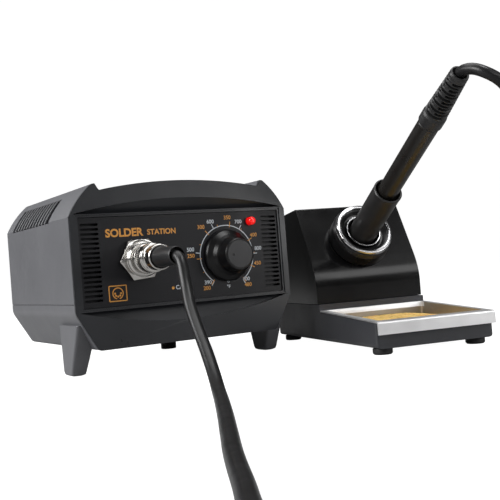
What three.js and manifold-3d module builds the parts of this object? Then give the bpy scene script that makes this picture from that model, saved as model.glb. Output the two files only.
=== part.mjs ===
// Soldering iron station: a mains-powered temperature controller, a free-standing iron holder with a
// cleaning sponge, and the iron itself, joined to the controller by its lead.
// Millimetres, +Z up. The origin is at the middle of the footprint, on the surface it stands on.
// The controller's front panel faces -Y. Every sub-part is one closed, named mesh.

import * as THREE from 'three';
import { mergeVertices } from 'three/addons/utils/BufferGeometryUtils.js';
import Module from 'manifold-3d';

const wasm = await Module();
wasm.setup();

// ---------------------------------------------------------------- driving dimensions

const GAP = 0.3;                    // clearance between pieces that touch

// where the controller and the stand are, from the middle of the footprint
const STATION_AT = [-57.34, -1.94, 0];
const STAND_AT = [57.66, -97.54, 0];
const STAND_YAW = -12.2;            // degrees

// controller case, seen from the front: x from its middle, z from the floor
const CASE_HALF = 75;
const CASE_FLOOR = 15.5;
const CASE_FLOOR_HALF = 62;
const SKIRT_Z = 38;                 // the sloping skirt meets the upright side
const SPLIT_Z = 44;                 // upper and lower shells part here
const SHOULDER_Z = 96;
const EAR = [59.6, 115.2];
const GROOVE = [55, 111.3];
const CROWN = [51, 113.6];
const CASE_TOP = 116.5;
const WALL = 2.5;
const CASE_FRONT = 2;
const CASE_BACK = 143;

// front panel
const PANEL_HALF = 69.5;
const PANEL_Z = [41, 95];
const PANEL_Y = [1.6, 3.1];
const PANEL_SLOTS = 17;
const SLOT_PITCH = 2.85;
const SLOT_HEIGHT = 1.4;
const SLOT_X = [57, 68.3];
const SLOT_FIRST_Z = 45.2;
const SCOOP_DEPTH = 3.2;

// places on the front panel, x and z
const SOCKET_AT = [-32, 68.2];
const KNOB_AT = [29.5, 67];
const LAMP_AT = [48.5, 88.5];
const TRIMMER_AT = [-5, 55];

// places on the rear panel, x and z
const REAR_Y = [140, 142.5];
const INLET_AT = [34, 52];
const SWITCH_AT = [-38, 62];
const FUSE_AT = [-4, 46];
const INLET_SCREW_REACH = 20;

// vents on the sloping shoulders
const VENT_Y = [40, 125];
const VENT_WIDTH = 16;
const VENT_SLATS = 19;

// iron stand
const BASE_HALF = 39.9;
const BASE_LENGTH = 167;
const BASE_Z = [4, 28.7];
const BASE_STEP_Y = 83;             // the low front part ends and the part under the hood begins
const RIM_Z = [20.5, 24.8];         // the tray's rim above the front and the back of the pocket
const RIM_SHEET = 0.9;
const LIP_Y = [-3.2, -2.2];
const LIP_LOW = 12.6;
const POCKET_HALF = 37.4;
const POCKET_Y = [2.4, 82];
const SHEET = 1.5;
const HOLDER_AT = [0, 98.2, 71];    // on the hood's sloping face
const HOLDER_TILT = 60;             // degrees from upright to the iron's line
const RING_R = 21.6;
const RING_DEPTH = 13;
const FUNNEL_R = [10.9, 11.9];

// iron, measured along its line from the hood's face, the tip on the negative side
const TUBE_R = 6.75;
const SLEEVE_R = 9.6;
const SLEEVE_END = 60;
const TUBE_END = 127.5;
const RELIEF_END = 169.5;
const TIP_END = -68;

// lead
const CORD_R = 3.2;
const CORD_SIDES = 10;
const CORD_STEP = [5, 14];          // at the controller's end, where the bends are tight, and elsewhere

// ---------------------------------------------------------------- geometry helpers

// Merges the shared vertices, so that the mesh is closed in the topological sense too.
function welded(geometry) {
  const bare = geometry.index ? geometry.clone() : geometry;
  bare.deleteAttribute('normal');
  bare.deleteAttribute('uv');
  return mergeVertices(bare, 1e-4);
}

function solid(geometry) {
  const mesh = welded(geometry);
  return new wasm.Manifold(new wasm.Mesh({
    numProp: 3,
    vertProperties: new Float32Array(mesh.attributes.position.array),
    triVerts: new Uint32Array(mesh.index.array),
  }));
}

function geometryOf(manifold) {
  const mesh = manifold.getMesh();
  const geometry = new THREE.BufferGeometry();
  geometry.setAttribute('position', new THREE.BufferAttribute(new Float32Array(mesh.vertProperties), 3));
  geometry.setIndex(new THREE.BufferAttribute(new Uint32Array(mesh.triVerts), 1));
  geometry.computeVertexNormals();
  return geometry;
}

// Joins the solids in add and cuts the solids in cut away from them.
function carve(add, cut = []) {
  let body = solid(add[0]);
  for (const piece of add.slice(1)) body = body.add(solid(piece));
  for (const piece of cut) body = body.subtract(solid(piece));
  return geometryOf(body);
}

function box(x, y, z) {
  const geometry = new THREE.BoxGeometry(x[1] - x[0], y[1] - y[0], z[1] - z[0]);
  return geometry.translate((x[0] + x[1]) / 2, (y[0] + y[1]) / 2, (z[0] + z[1]) / 2);
}

const polygon = (points) => new THREE.Shape(points.map(([a, b]) => new THREE.Vector2(a, b)));

const extruded = (shape, depth, curveSegments = 8) =>
  new THREE.ExtrudeGeometry(shape, { depth, curveSegments, bevelEnabled: false });

// A prism along Y of a shape drawn in x and z.
function prismY(shape, low, high, curveSegments) {
  return extruded(shape, high - low, curveSegments).rotateX(Math.PI / 2).translate(0, high, 0);
}

// A prism along X of a shape drawn in y and z.
function prismX(shape, low, high, curveSegments) {
  const turn = new THREE.Matrix4().makeBasis(
    new THREE.Vector3(0, 1, 0), new THREE.Vector3(0, 0, 1), new THREE.Vector3(1, 0, 0));
  return extruded(shape, high - low, curveSegments).applyMatrix4(turn).translate(low, 0, 0);
}

// A prism along Z of a shape drawn in x and y.
const prismZ = (shape, low, high, curveSegments) =>
  extruded(shape, high - low, curveSegments).translate(0, 0, low);

// A turned piece about Z, from [radius, height] points listed from the bottom, outside, to the top.
function turned(profile, sides = 28) {
  const points = profile.map(([r, h]) => new THREE.Vector2(r, h));
  return new THREE.LatheGeometry(points, sides).rotateX(Math.PI / 2);
}

// A ring about Z: a closed profile that stays clear of the axis.
const ring = (profile, sides) => turned([...profile, profile[0]], sides);

const cylinder = (radius, low, high, sides = 20) =>
  new THREE.CylinderGeometry(radius, radius, high - low, sides).rotateX(Math.PI / 2)
    .translate(0, 0, (low + high) / 2);

// A cylinder along Y about the line through x and z.
const cylinderY = (radius, [x, z], low, high, sides) =>
  cylinder(radius, low, high, sides).rotateX(-Math.PI / 2).translate(x, 0, z);

function hexagon(acrossFlats) {
  const radius = acrossFlats / Math.sqrt(3);
  const points = [];
  for (let i = 0; i < 6; i += 1) {
    const angle = (i * Math.PI) / 3;
    points.push([radius * Math.cos(angle), radius * Math.sin(angle)]);
  }
  return polygon(points);
}

function roundHole(shape, radius, x = 0, y = 0, sides = 20) {
  const points = Array.from({ length: sides }, (_, i) => {
    const angle = (-2 * Math.PI * i) / sides;
    return new THREE.Vector2(x + radius * Math.cos(angle), y + radius * Math.sin(angle));
  });
  shape.holes.push(new THREE.Path(points));
}

// A plain rectangle with round corners, centred on x = 0, from y0 to y1.
function roundedRectangle(half, y0, y1, radius) {
  const shape = new THREE.Shape();
  shape.moveTo(-half + radius, y0);
  shape.lineTo(half - radius, y0);
  shape.quadraticCurveTo(half, y0, half, y0 + radius);
  shape.lineTo(half, y1 - radius);
  shape.quadraticCurveTo(half, y1, half - radius, y1);
  shape.lineTo(-half + radius, y1);
  shape.quadraticCurveTo(-half, y1, -half, y1 - radius);
  shape.lineTo(-half, y0 + radius);
  shape.quadraticCurveTo(-half, y0, -half + radius, y0);
  return shape;
}

// ---------------------------------------------------------------- scene graph

const object = new THREE.Group();
const station = new THREE.Group();
const stand = new THREE.Group();
const holder = new THREE.Group();
object.add(station, stand);
stand.add(holder);
station.position.set(...STATION_AT);
stand.position.set(...STAND_AT);
stand.rotation.z = THREE.MathUtils.degToRad(STAND_YAW);
holder.position.set(...HOLDER_AT);
holder.rotation.x = THREE.MathUtils.degToRad(HOLDER_TILT);

const finish = (color, roughness, metalness = 0) =>
  new THREE.MeshStandardMaterial({ color, roughness, metalness });

const FINISHES = {
  casePlastic: finish('#5a5b5f', 0.5),
  bezelPlastic: finish('#2c2d31', 0.45),
  panelPlastic: finish('#1d1d21', 0.4),
  nickel: finish('#c9c6c2', 0.2, 1),
  knobPlastic: finish('#0f0f11', 0.25),
  blackPlastic: finish('#18181a', 0.35),
  lampLens: finish('#e01010', 0.2),
  circuitBoard: finish('#1f5a35', 0.6),
  lamination: finish('#6d6c6a', 0.5, 0.8),
  winding: finish('#a5672f', 0.5, 0.4),
  aluminium: finish('#b9bbbe', 0.4, 1),
  standPlastic: finish('#36373b', 0.55),
  hoodPaint: finish('#141416', 0.2),
  sheetSteel: finish('#c8c4c6', 0.3, 1),
  sponge: finish('#cda45a', 0.95),
  rubber: finish('#161617', 0.7),
  ceramic: finish('#e6e1d6', 0.6),
};

function part(parent, name, geometry, material) {
  const mesh = new THREE.Mesh(geometry, FINISHES[material].clone());
  mesh.name = name;
  parent.add(mesh);
  return mesh;
}

// A turned piece that points out of the front panel (-Y) or, with front false, out of the rear (+Y).
function facing(parent, name, geometry, material, [x, z], front = true) {
  const mesh = part(parent, name, geometry, material);
  mesh.position.set(x, 0, z);
  mesh.rotation.x = front ? Math.PI / 2 : -Math.PI / 2;
  return mesh;
}

// ---------------------------------------------------------------- controller case

// The outside of the case, a closed outline in x and z.
function caseOutline() {
  const shape = new THREE.Shape();
  shape.moveTo(-CASE_FLOOR_HALF, CASE_FLOOR);
  shape.lineTo(CASE_FLOOR_HALF, CASE_FLOOR);
  shape.lineTo(CASE_HALF, SKIRT_Z);
  shape.lineTo(CASE_HALF, SHOULDER_Z);
  shape.lineTo(EAR[0], EAR[1]);
  shape.lineTo(EAR[0] - 1.6, EAR[1] + 0.3);
  shape.lineTo(GROOVE[0], GROOVE[1]);
  shape.lineTo(CROWN[0], CROWN[1]);
  shape.quadraticCurveTo(0, 2 * CASE_TOP - CROWN[1], -CROWN[0], CROWN[1]);
  shape.lineTo(-GROOVE[0], GROOVE[1]);
  shape.lineTo(-EAR[0] + 1.6, EAR[1] + 0.3);
  shape.lineTo(-EAR[0], EAR[1]);
  shape.lineTo(-CASE_HALF, SHOULDER_Z);
  shape.lineTo(-CASE_HALF, SKIRT_Z);
  return shape;
}

// The same outline moved in by a wall's thickness, without the ears.
function innerOutline(inset) {
  const shape = new THREE.Shape();
  const foot = [CASE_FLOOR_HALF - 0.58 * inset, CASE_FLOOR + inset];
  const skirt = [CASE_HALF - inset, SKIRT_Z + 0.27 * inset];
  const shoulder = [CASE_HALF - inset, SHOULDER_Z - 0.35 * inset];
  const ear = [EAR[0] + 3.4 - inset, EAR[1] - 2.7 - inset];
  const crown = [CROWN[0], CROWN[1] - inset - 0.3];
  shape.moveTo(-foot[0], foot[1]);
  shape.lineTo(foot[0], foot[1]);
  shape.lineTo(skirt[0], skirt[1]);
  shape.lineTo(shoulder[0], shoulder[1]);
  shape.lineTo(ear[0], ear[1]);
  shape.lineTo(GROOVE[0] + 0.5, GROOVE[1] - inset - 0.4);
  shape.lineTo(crown[0], crown[1]);
  shape.quadraticCurveTo(0, 2 * (CASE_TOP - inset) - crown[1], -crown[0], crown[1]);
  shape.lineTo(-GROOVE[0] - 0.5, GROOVE[1] - inset - 0.4);
  shape.lineTo(-ear[0], ear[1]);
  shape.lineTo(-shoulder[0], shoulder[1]);
  shape.lineTo(-skirt[0], skirt[1]);
  return shape;
}

const wholeCase = () => prismY(caseOutline(), CASE_FRONT, CASE_BACK);
const caseHollow = () => prismY(innerOutline(WALL), CASE_FRONT - 1, CASE_BACK + 1);

// The sloping shoulder's direction, and a box that lies along it on either side.
const SLOPE = new THREE.Vector2(EAR[0] - CASE_HALF, EAR[1] - SHOULDER_Z).normalize();
const SLOPE_TURN = Math.atan2(-SLOPE.x, SLOPE.y);

function onShoulder(geometry, side) {
  const along = 2 + VENT_WIDTH / 2;
  const x = CASE_HALF + SLOPE.x * along;
  const z = SHOULDER_Z + SLOPE.y * along;
  return geometry.rotateY(-side * SLOPE_TURN).translate(side * x, (VENT_Y[0] + VENT_Y[1]) / 2, z);
}

function ventWindow(side) {
  const length = VENT_Y[1] - VENT_Y[0];
  return onShoulder(new THREE.BoxGeometry(12, length, VENT_WIDTH), side);
}

// A louvred insert: a plate with narrow slots across it, set just below the case's surface.
function ventGrille(side) {
  const length = VENT_Y[1] - VENT_Y[0] - 2 * GAP;
  const width = VENT_WIDTH - 2 * GAP;
  const pitch = length / VENT_SLATS;
  const plate = new THREE.BoxGeometry(2, length, width);
  const slots = Array.from({ length: VENT_SLATS }, (_, i) => (
    new THREE.BoxGeometry(4, 0.6 * pitch, width - 2.4).translate(0, (i - (VENT_SLATS - 1) / 2) * pitch, 0)));
  return onShoulder(carve([plate], slots).translate(-1.6 * side, 0, 0), side);
}

// A front leg: a block whose front slopes back on its way down.
function leg(side) {
  const top = { z: 31.4, x: [60, 73.4], y: [4.6, 39.4] };
  const foot = { z: 0, x: [64, 73.6], y: [19.4, 36.4] };
  const geometry = new THREE.BoxGeometry(2, 2, 2);
  const position = geometry.attributes.position;
  for (let i = 0; i < position.count; i += 1) {
    const level = position.getZ(i) > 0 ? top : foot;
    const outer = position.getX(i) * side > 0 ? 1 : 0;
    const back = position.getY(i) > 0 ? 1 : 0;
    position.setXYZ(i, side * level.x[outer], level.y[back], level.z);
  }
  return geometry;
}

const SCREW_PLACES = [[-50, 45], [50, 45], [-50, 100], [50, 100]];

function upperShell() {
  const below = box([-80, 80], [0, 150], [0, SPLIT_Z]);
  return carve([wholeCase()], [caseHollow(), below, ventWindow(1), ventWindow(-1)]);
}

function lowerShell() {
  const above = box([-80, 80], [0, 150], [SPLIT_Z - GAP, 130]);
  const floorTop = CASE_FLOOR + WALL;
  const legs = carve([leg(1), leg(-1)], [caseHollow()]);
  const shell = carve([wholeCase()], [caseHollow(), above]);
  const bosses = SCREW_PLACES.map(([x, y]) => cylinder(3.6, floorTop - 1, 30, 12).translate(x, y, 0));
  const holes = SCREW_PLACES.map(([x, y]) => cylinder(1.8, CASE_FLOOR - 1, 27, 12).translate(x, y, 0));
  return carve([shell, legs, ...bosses], holes);
}

// A pan-head screw about Z, its head downwards.
const panScrew = (length, sides = 12) => turned([
  [0, -2.2], [2.3, -2.2], [2.9, -1.6], [2.9, -GAP], [1.5, -GAP], [1.5, length], [0, length],
], sides);

part(station, 'upper_shell', upperShell(), 'casePlastic');
part(station, 'lower_shell', lowerShell(), 'casePlastic');
part(station, 'left_vent_grille', ventGrille(-1), 'casePlastic');
part(station, 'right_vent_grille', ventGrille(1), 'casePlastic');

SCREW_PLACES.forEach(([x, y], i) => {
  part(station, `case_screw_${i + 1}`, panScrew(9), 'nickel').position.set(x, y, CASE_FLOOR);
});

const rearFoot = () => turned([
  [0, 0], [5.4, 0], [5.8, 0.6], [6.4, CASE_FLOOR - GAP], [0, CASE_FLOOR - GAP],
], 20);
part(station, 'rear_foot_left', rearFoot(), 'rubber').position.set(-38, 122, 0);
part(station, 'rear_foot_right', rearFoot(), 'rubber').position.set(38, 122, 0);

// ---------------------------------------------------------------- front: bezel and panel

// A shallow lens-shaped hollow above or below the panel, deepest at the panel's edge.
function scoop(panelEdge, endZ, middleZ) {
  const up = Math.sign(middleZ - panelEdge);
  const lens = new THREE.Shape();
  lens.moveTo(-72, panelEdge);
  lens.lineTo(72, panelEdge);
  lens.lineTo(72, endZ);
  lens.quadraticCurveTo(0, 2 * middleZ - endZ, -72, endZ);
  const wedge = polygon([
    [-1, panelEdge - up], [SCOOP_DEPTH, panelEdge - up], [SCOOP_DEPTH, panelEdge],
    [0, middleZ], [-1, middleZ + up],
  ]);
  const body = solid(prismY(lens, -1, SCOOP_DEPTH + 1)).intersect(solid(prismX(wedge, -74, 74)));
  return geometryOf(body);
}

function frontBezel() {
  const rim = prismY(caseOutline(), 0, CASE_FRONT - GAP);
  const collar = prismY(innerOutline(WALL + GAP), 1, 9);
  const recess = box([-PANEL_HALF - GAP, PANEL_HALF + GAP], [-1, PANEL_Y[1] + GAP],
    [PANEL_Z[0] - GAP, PANEL_Z[1] + GAP]);
  const window = box([-68.9, 68.9], [0, 10], [PANEL_Z[0] + 1, PANEL_Z[1] - 1]);
  const behind = prismY(innerOutline(WALL + 2.8), 4.8, 10);
  return carve([rim, collar], [
    recess, window, behind, scoop(PANEL_Z[1] + 1, 97.6, 105.5), scoop(PANEL_Z[0] - 1, 38.6, 29),
  ]);
}

function frontPanel() {
  const y = [PANEL_Y[0] - 1, PANEL_Y[1] + 1];
  const slots = [];
  for (let i = 0; i < PANEL_SLOTS; i += 1) {
    const z = SLOT_FIRST_Z + i * SLOT_PITCH;
    for (const x of [[-SLOT_X[1], -SLOT_X[0]], SLOT_X]) {
      slots.push(box(x, y, [z - SLOT_HEIGHT / 2, z + SLOT_HEIGHT / 2]));
    }
  }
  return carve([box([-PANEL_HALF, PANEL_HALF], PANEL_Y, PANEL_Z)], [
    ...slots, cylinderY(8.3, SOCKET_AT, ...y, 28), cylinderY(4, KNOB_AT, ...y),
    cylinderY(3, LAMP_AT, ...y), cylinderY(1.7, TRIMMER_AT, ...y, 14),
  ]);
}

part(station, 'front_bezel', frontBezel(), 'bezelPlastic');
part(station, 'front_panel', frontPanel(), 'panelPlastic');

// ---------------------------------------------------------------- front: socket and plug

// Heights are distances in front of the bezel's face; the panel's face is at -1.6.
function hexNut(acrossFlats, bore, low, high) {
  const shape = hexagon(acrossFlats);
  roundHole(shape, bore);
  return prismZ(shape, low, high, 8);
}

facing(station, 'socket_body', turned([
  [0, -20], [7.9, -20], [7.9, -6], [11, -6], [11, -3.4], [7.9, -3.4], [7.9, 8.3], [0, 8.3],
]), 'nickel', SOCKET_AT);
facing(station, 'socket_nut', hexNut(24, 8.3, -1.3, 3), 'nickel', SOCKET_AT);
facing(station, 'socket_lock_ring', ring([
  [8.3, 3.4], [10.3, 3.4], [10.7, 3.7], [10.7, 7.9], [10.3, 8.3], [8.3, 8.3],
]), 'nickel', SOCKET_AT);
facing(station, 'plug_coupling_ring', ring([
  [6.6, 8.6], [8.3, 8.6], [8.7, 9], [8.7, 21.6], [8.3, 22], [7, 22.2], [7, 24],
  [7.6, 24.3], [7.6, 30.6], [7.2, 31], [6.6, 31],
]), 'nickel', SOCKET_AT);
facing(station, 'plug_barrel', turned([
  [0, 8.6], [6.3, 8.6], [6.3, 31], [5.2, 52], [4.9, 52.5], [4.4, 52.5], [4.4, 42], [0, 42],
]), 'blackPlastic', SOCKET_AT);
facing(station, 'plug_boot', turned([
  [0, 42.3], [4.1, 42.3], [4.1, 48.8], [3.6, 49.3], [0, 49.3],
], 20), 'rubber', SOCKET_AT);

// ---------------------------------------------------------------- front: knob, lamp and trimmer

facing(station, 'temperature_knob', turned([
  [0, 13], [3.3, 13], [3.3, 2.6], [7.5, 2.6], [7.5, -1.2], [16.8, -1.2], [16.8, 0.6], [16.1, 1.8],
  [13, 4.3], [10.8, 7.6], [9.9, 15.4], [9.4, 16], [0, 16],
], 36), 'knobPlastic', KNOB_AT);
facing(station, 'potentiometer_shaft', cylinder(3, -10.7, 12.7), 'aluminium', KNOB_AT);
facing(station, 'potentiometer_body', turned([
  [0, -13], [8, -13], [8, -3.4], [3.6, -3.4], [3.6, 1.6], [3.15, 1.6], [3.15, -11], [0, -11],
], 20), 'blackPlastic', KNOB_AT);

facing(station, 'power_lamp', turned([
  [0, -8], [2.7, -8], [2.7, 1], [2.5, 2.1], [1.8, 3], [0.9, 3.5], [0, 3.6],
], 20), 'lampLens', LAMP_AT);
facing(station, 'lamp_holder', ring([[3, -9], [4.6, -9], [4.6, -3.4], [3, -3.4]], 16), 'blackPlastic', LAMP_AT);

const trimmerSlot = box([-0.35, 0.35], [-2, 2], [-3.2, 0]);
const trimmer = carve([cylinder(1.35, -9, -2.6, 14)], [trimmerSlot]);
facing(station, 'calibration_trimmer', trimmer, 'blackPlastic', TRIMMER_AT);
facing(station, 'trimmer_housing', carve([box([-3.5, 3.5], [-3.5, 3.5], [-12.6, -4])],
  [cylinder(1.7, -9.4, 0, 14)]), 'blackPlastic', TRIMMER_AT);

// ---------------------------------------------------------------- inside the case

const BOARD_Y = [14.6, 16.2];
part(station, 'circuit_board', box([-20, 62], BOARD_Y, [38, 92]), 'circuitBoard');

part(station, 'filter_capacitor', cylinder(8, 0, 25, 20), 'blackPlastic');
station.getObjectByName('filter_capacitor').rotation.x = -Math.PI / 2;
station.getObjectByName('filter_capacitor').position.set(-5, BOARD_Y[1] + GAP, 78);

// A finned block: a back plate with upright fins.
function heatSink() {
  const back = BOARD_Y[1] + GAP;
  const plate = box([30, 58], [back, back + 3], [44, 74]);
  const fins = [30, 36.5, 43, 49.5, 56].map((x) => box([x, x + 2], [back + 2, back + 17], [44, 74]));
  return carve([plate, ...fins]);
}
part(station, 'heat_sink', heatSink(), 'aluminium');

// Transformer: a laminated core with a winding round its middle leg.
const CORE = { x: [-30, 30], y: [68, 104], z: [CASE_FLOOR + WALL + GAP, 68] };
const CORE_LEG = 10;
const CORE_WINDOW = 9;
const coreWindow = (side) => {
  const inner = side * CORE_LEG;
  const outer = side * (CORE_LEG + CORE_WINDOW);
  return box([Math.min(inner, outer), Math.max(inner, outer)], [60, 110], [CORE.z[0] + 9, CORE.z[1] - 9]);
};
part(station, 'transformer_core', carve([box(CORE.x, CORE.y, CORE.z)], [coreWindow(1), coreWindow(-1)]),
  'lamination');
const windingZ = [CORE.z[0] + 9 + GAP, CORE.z[1] - 9 - GAP];
const windingHalf = CORE_LEG + CORE_WINDOW - GAP;
part(station, 'transformer_winding', carve(
  [box([-windingHalf, windingHalf], [CORE.y[0] - 8, CORE.y[1] + 8], windingZ)],
  [box([-CORE_LEG - GAP, CORE_LEG + GAP], [CORE.y[0] - GAP, CORE.y[1] + GAP], [0, 130])],
), 'winding');

// ---------------------------------------------------------------- rear panel and mains side

const INLET_FACE = REAR_Y[1] + GAP;
const INLET_BODY = [13.7, 9.8];
const INLET_CAVITY = [12.1, 8.1];
const SWITCH_BODY = [6.4, 9.6];

const around = ([x, z], [halfX, halfZ], y, slack = 0) => box(
  [x - halfX - slack, x + halfX + slack], y, [z - halfZ - slack, z + halfZ + slack]);

const inletScrewAt = (side) => [INLET_AT[0] + side * INLET_SCREW_REACH, INLET_AT[1]];

function rearPanel() {
  const plate = prismY(innerOutline(WALL + GAP), ...REAR_Y);
  const y = [REAR_Y[0] - 1, REAR_Y[1] + 1];
  const slots = [80, 84.5, 89, 93.5, 98].map((z) => box([-34, 34], y, [z, z + 2]));
  return carve([plate], [
    around(INLET_AT, INLET_BODY, y, GAP), around(SWITCH_AT, SWITCH_BODY, y, GAP),
    cylinderY(6, FUSE_AT, ...y), cylinderY(1.8, inletScrewAt(1), ...y, 12),
    cylinderY(1.8, inletScrewAt(-1), ...y, 12), ...slots,
  ]);
}

// A three-pin appliance inlet: a flange with ears, and a deep socket with three blades.
function mainsInlet() {
  const flange = around(INLET_AT, [25, 11.3], [INLET_FACE, INLET_FACE + 2.5]);
  const body = around(INLET_AT, INLET_BODY, [INLET_FACE - 17, INLET_FACE + 1]);
  const cavity = around(INLET_AT, INLET_CAVITY, [INLET_FACE - 14, INLET_FACE + 4]);
  const blades = [[-7, -1], [7, -1], [0, 3.6]].map(([x, z]) => around(
    [INLET_AT[0] + x, INLET_AT[1] + z], [1, 2.2], [INLET_FACE - 15, INLET_FACE - 3.5]));
  const shell = carve([flange, body], [
    cavity, cylinderY(1.8, inletScrewAt(1), 130, 150, 12), cylinderY(1.8, inletScrewAt(-1), 130, 150, 12),
  ]);
  return carve([shell, ...blades]);
}

// The rocker switch's frame, open at the back for the rocker.
function switchHousing() {
  const flange = around(SWITCH_AT, [7.8, 11], [INLET_FACE, INLET_FACE + 1.6]);
  const body = around(SWITCH_AT, SWITCH_BODY, [INLET_FACE - 16, INLET_FACE + 1]);
  const well = around(SWITCH_AT, [5.2, 8.4], [INLET_FACE - 9, INLET_FACE + 4]);
  return carve([flange, body], [well]);
}

// The rocker: a shallow V seen from the side, tilted to its on position.
const ROCKER_PIVOT_Y = INLET_FACE - 3.5;
const ROCKER_TILT = 11;
function rocker() {
  const profile = polygon([[-4, -3.5], [-4, 3.5], [1, 7.4], [4.4, 7.2], [3.1, 0], [4.4, -7.2], [1, -7.4]]);
  return prismX(profile, -4.8, 4.8).rotateX(THREE.MathUtils.degToRad(ROCKER_TILT));
}

part(station, 'rear_panel', rearPanel(), 'bezelPlastic');
part(station, 'mains_inlet', mainsInlet(), 'blackPlastic');
part(station, 'power_switch_housing', switchHousing(), 'blackPlastic');
part(station, 'power_switch_rocker', rocker(), 'blackPlastic')
  .position.set(SWITCH_AT[0], ROCKER_PIVOT_Y, SWITCH_AT[1]);

[1, -1].forEach((side, i) => {
  const screw = facing(station, `inlet_screw_${i + 1}`, panScrew(8), 'nickel', inletScrewAt(side));
  screw.position.y = INLET_FACE + 2.5;
});

const FUSE_FACE = INLET_FACE + 1.7;
facing(station, 'fuse_holder', turned([
  [0, 116], [5.6, 116], [5.6, INLET_FACE], [7.4, INLET_FACE], [7.4, FUSE_FACE], [4.3, FUSE_FACE],
  [4.3, 120], [0, 120],
], 24), 'blackPlastic', FUSE_AT, false);
facing(station, 'fuse_cap', turned([
  [0, 121], [3.9, 121], [3.9, FUSE_FACE + GAP], [5.6, FUSE_FACE + GAP], [5.6, FUSE_FACE + 2.4],
  [5.1, FUSE_FACE + 2.9], [0, FUSE_FACE + 2.9],
], 24), 'blackPlastic', FUSE_AT, false);

// ---------------------------------------------------------------- stand: base, tray and sponge

const TAB_SCREWS = [[20, 36], [-20, 36]];

// The height of the tray's rim, which falls a little towards the front.
const rimZ = (y) => RIM_Z[0] + (RIM_Z[1] - RIM_Z[0]) * (y / POCKET_Y[1]);

// A prism along X whose top follows the rim at a distance below it.
function underRim(half, [front, back], low, drop = 0) {
  const shape = polygon([[front, low], [back, low], [back, rimZ(back) - drop], [front, rimZ(front) - drop]]);
  return prismX(shape, -half, half);
}

function standBase() {
  const body = prismZ(roundedRectangle(BASE_HALF, 0, BASE_LENGTH, 3), ...BASE_Z, 4);
  const tab = box([-28, 28], [162.6, 165.1], [20, 42]);
  const below = RIM_SHEET + GAP;
  const front = prismX(polygon([
    [-1, rimZ(-1) - below], [BASE_STEP_Y, rimZ(BASE_STEP_Y) - below], [BASE_STEP_Y, 40], [-1, 40],
  ]), -50, 50);
  const pocket = box([-POCKET_HALF, POCKET_HALF], POCKET_Y, [8, 40]);
  const cavity = box([-BASE_HALF + 2.8, BASE_HALF - 2.8], [88, 162.6], [8, 40]);
  const holes = TAB_SCREWS.map((at) => cylinderY(1.7, at, 150, 170, 12));
  return carve([body, tab], [front, pocket, cavity, ...holes]);
}

// An open pan with a flange all round; at the front the flange folds down before the base.
function spongeTray() {
  const half = POCKET_HALF - 0.4;
  const wall = 1.2;
  const y = [POCKET_Y[0] + 0.4, POCKET_Y[1] - 0.4];
  const pan = underRim(half, y, 8.3, RIM_SHEET / 2);
  const flange = carve([underRim(BASE_HALF, [LIP_Y[0], BASE_STEP_Y - GAP], 0)],
    [underRim(50, [-10, 100], -1, RIM_SHEET)]);
  const lip = underRim(BASE_HALF, LIP_Y, LIP_LOW, RIM_SHEET / 2);
  const hollow = box([-half + wall, half - wall], [y[0] + wall, y[1] - wall], [9.5, 40]);
  return carve([pan, flange, lip], [hollow]);
}

// A block with rounded shoulders, its top a little higher at the back, as the tray's rim is.
function sponge() {
  const half = 34.8;
  const side = 13;
  const shape = new THREE.Shape();
  shape.moveTo(-half, 9.8);
  shape.lineTo(half, 9.8);
  shape.lineTo(half, side);
  shape.bezierCurveTo(half - 6, side + 5.6, 14, side + 6.4, 0, side + 6.4);
  shape.bezierCurveTo(-14, side + 6.4, -half + 6, side + 5.6, -half, side);
  const above = prismX(polygon([[0, 16.7], [84, 18.9], [84, 40], [0, 40]]), -50, 50);
  return carve([prismY(shape, 4.8, 79.6, 8)], [above]);
}

part(stand, 'stand_base', standBase(), 'standPlastic');
part(stand, 'sponge_tray', spongeTray(), 'sheetSteel');
part(stand, 'cleaning_sponge', sponge(), 'sponge');

const standFoot = () => turned([[0, 0], [5.4, 0], [6, 0.6], [6, BASE_Z[0] - GAP], [0, BASE_Z[0] - GAP]], 16);
[[-32, 9], [32, 9], [-32, 158], [32, 158]].forEach(([x, y], i) => {
  part(stand, `stand_foot_${i + 1}`, standFoot(), 'rubber').position.set(x, y, 0);
});

// ---------------------------------------------------------------- stand: hood and holder

// The hood's side view: an upright lip, a slope at the holder's tilt, a gently falling top and the back.
function hoodProfile(inset) {
  const front = 85.5 + inset;
  const back = BASE_LENGTH - inset;
  const bottom = inset > 0 ? BASE_Z[1] - 1 : BASE_Z[1] + GAP;
  const rise = Math.tan(THREE.MathUtils.degToRad(HOLDER_TILT));
  const slopeY = (z) => HOLDER_AT[1] + (z - HOLDER_AT[2]) / rise + inset / Math.sin(Math.atan(rise));
  const topZ = 96.3 - inset;
  const shape = new THREE.Shape();
  shape.moveTo(front, bottom);
  shape.lineTo(front, 40);
  shape.quadraticCurveTo(front, HOLDER_AT[2] + (front - slopeY(HOLDER_AT[2])) * rise, slopeY(60), 60);
  shape.lineTo(slopeY(topZ - 1), topZ - 1);
  shape.lineTo(slopeY(topZ - 1) + 2.5, topZ);
  shape.lineTo(back - 8, topZ - 4.3);
  shape.lineTo(back - 2.2, topZ - 7.5);
  shape.lineTo(back, topZ - 12);
  shape.lineTo(back, bottom);
  return shape;
}

function hood() {
  const hole = cylinder(12.4, -10, 10, 28)
    .rotateX(THREE.MathUtils.degToRad(HOLDER_TILT)).translate(...HOLDER_AT);
  const screws = TAB_SCREWS.map((at) => cylinderY(1.8, at, 160, 170, 12));
  return carve([prismX(hoodProfile(0), -BASE_HALF, BASE_HALF, 5)], [
    prismX(hoodProfile(SHEET), -BASE_HALF + SHEET, BASE_HALF - SHEET, 5), hole, ...screws,
  ]);
}

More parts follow.
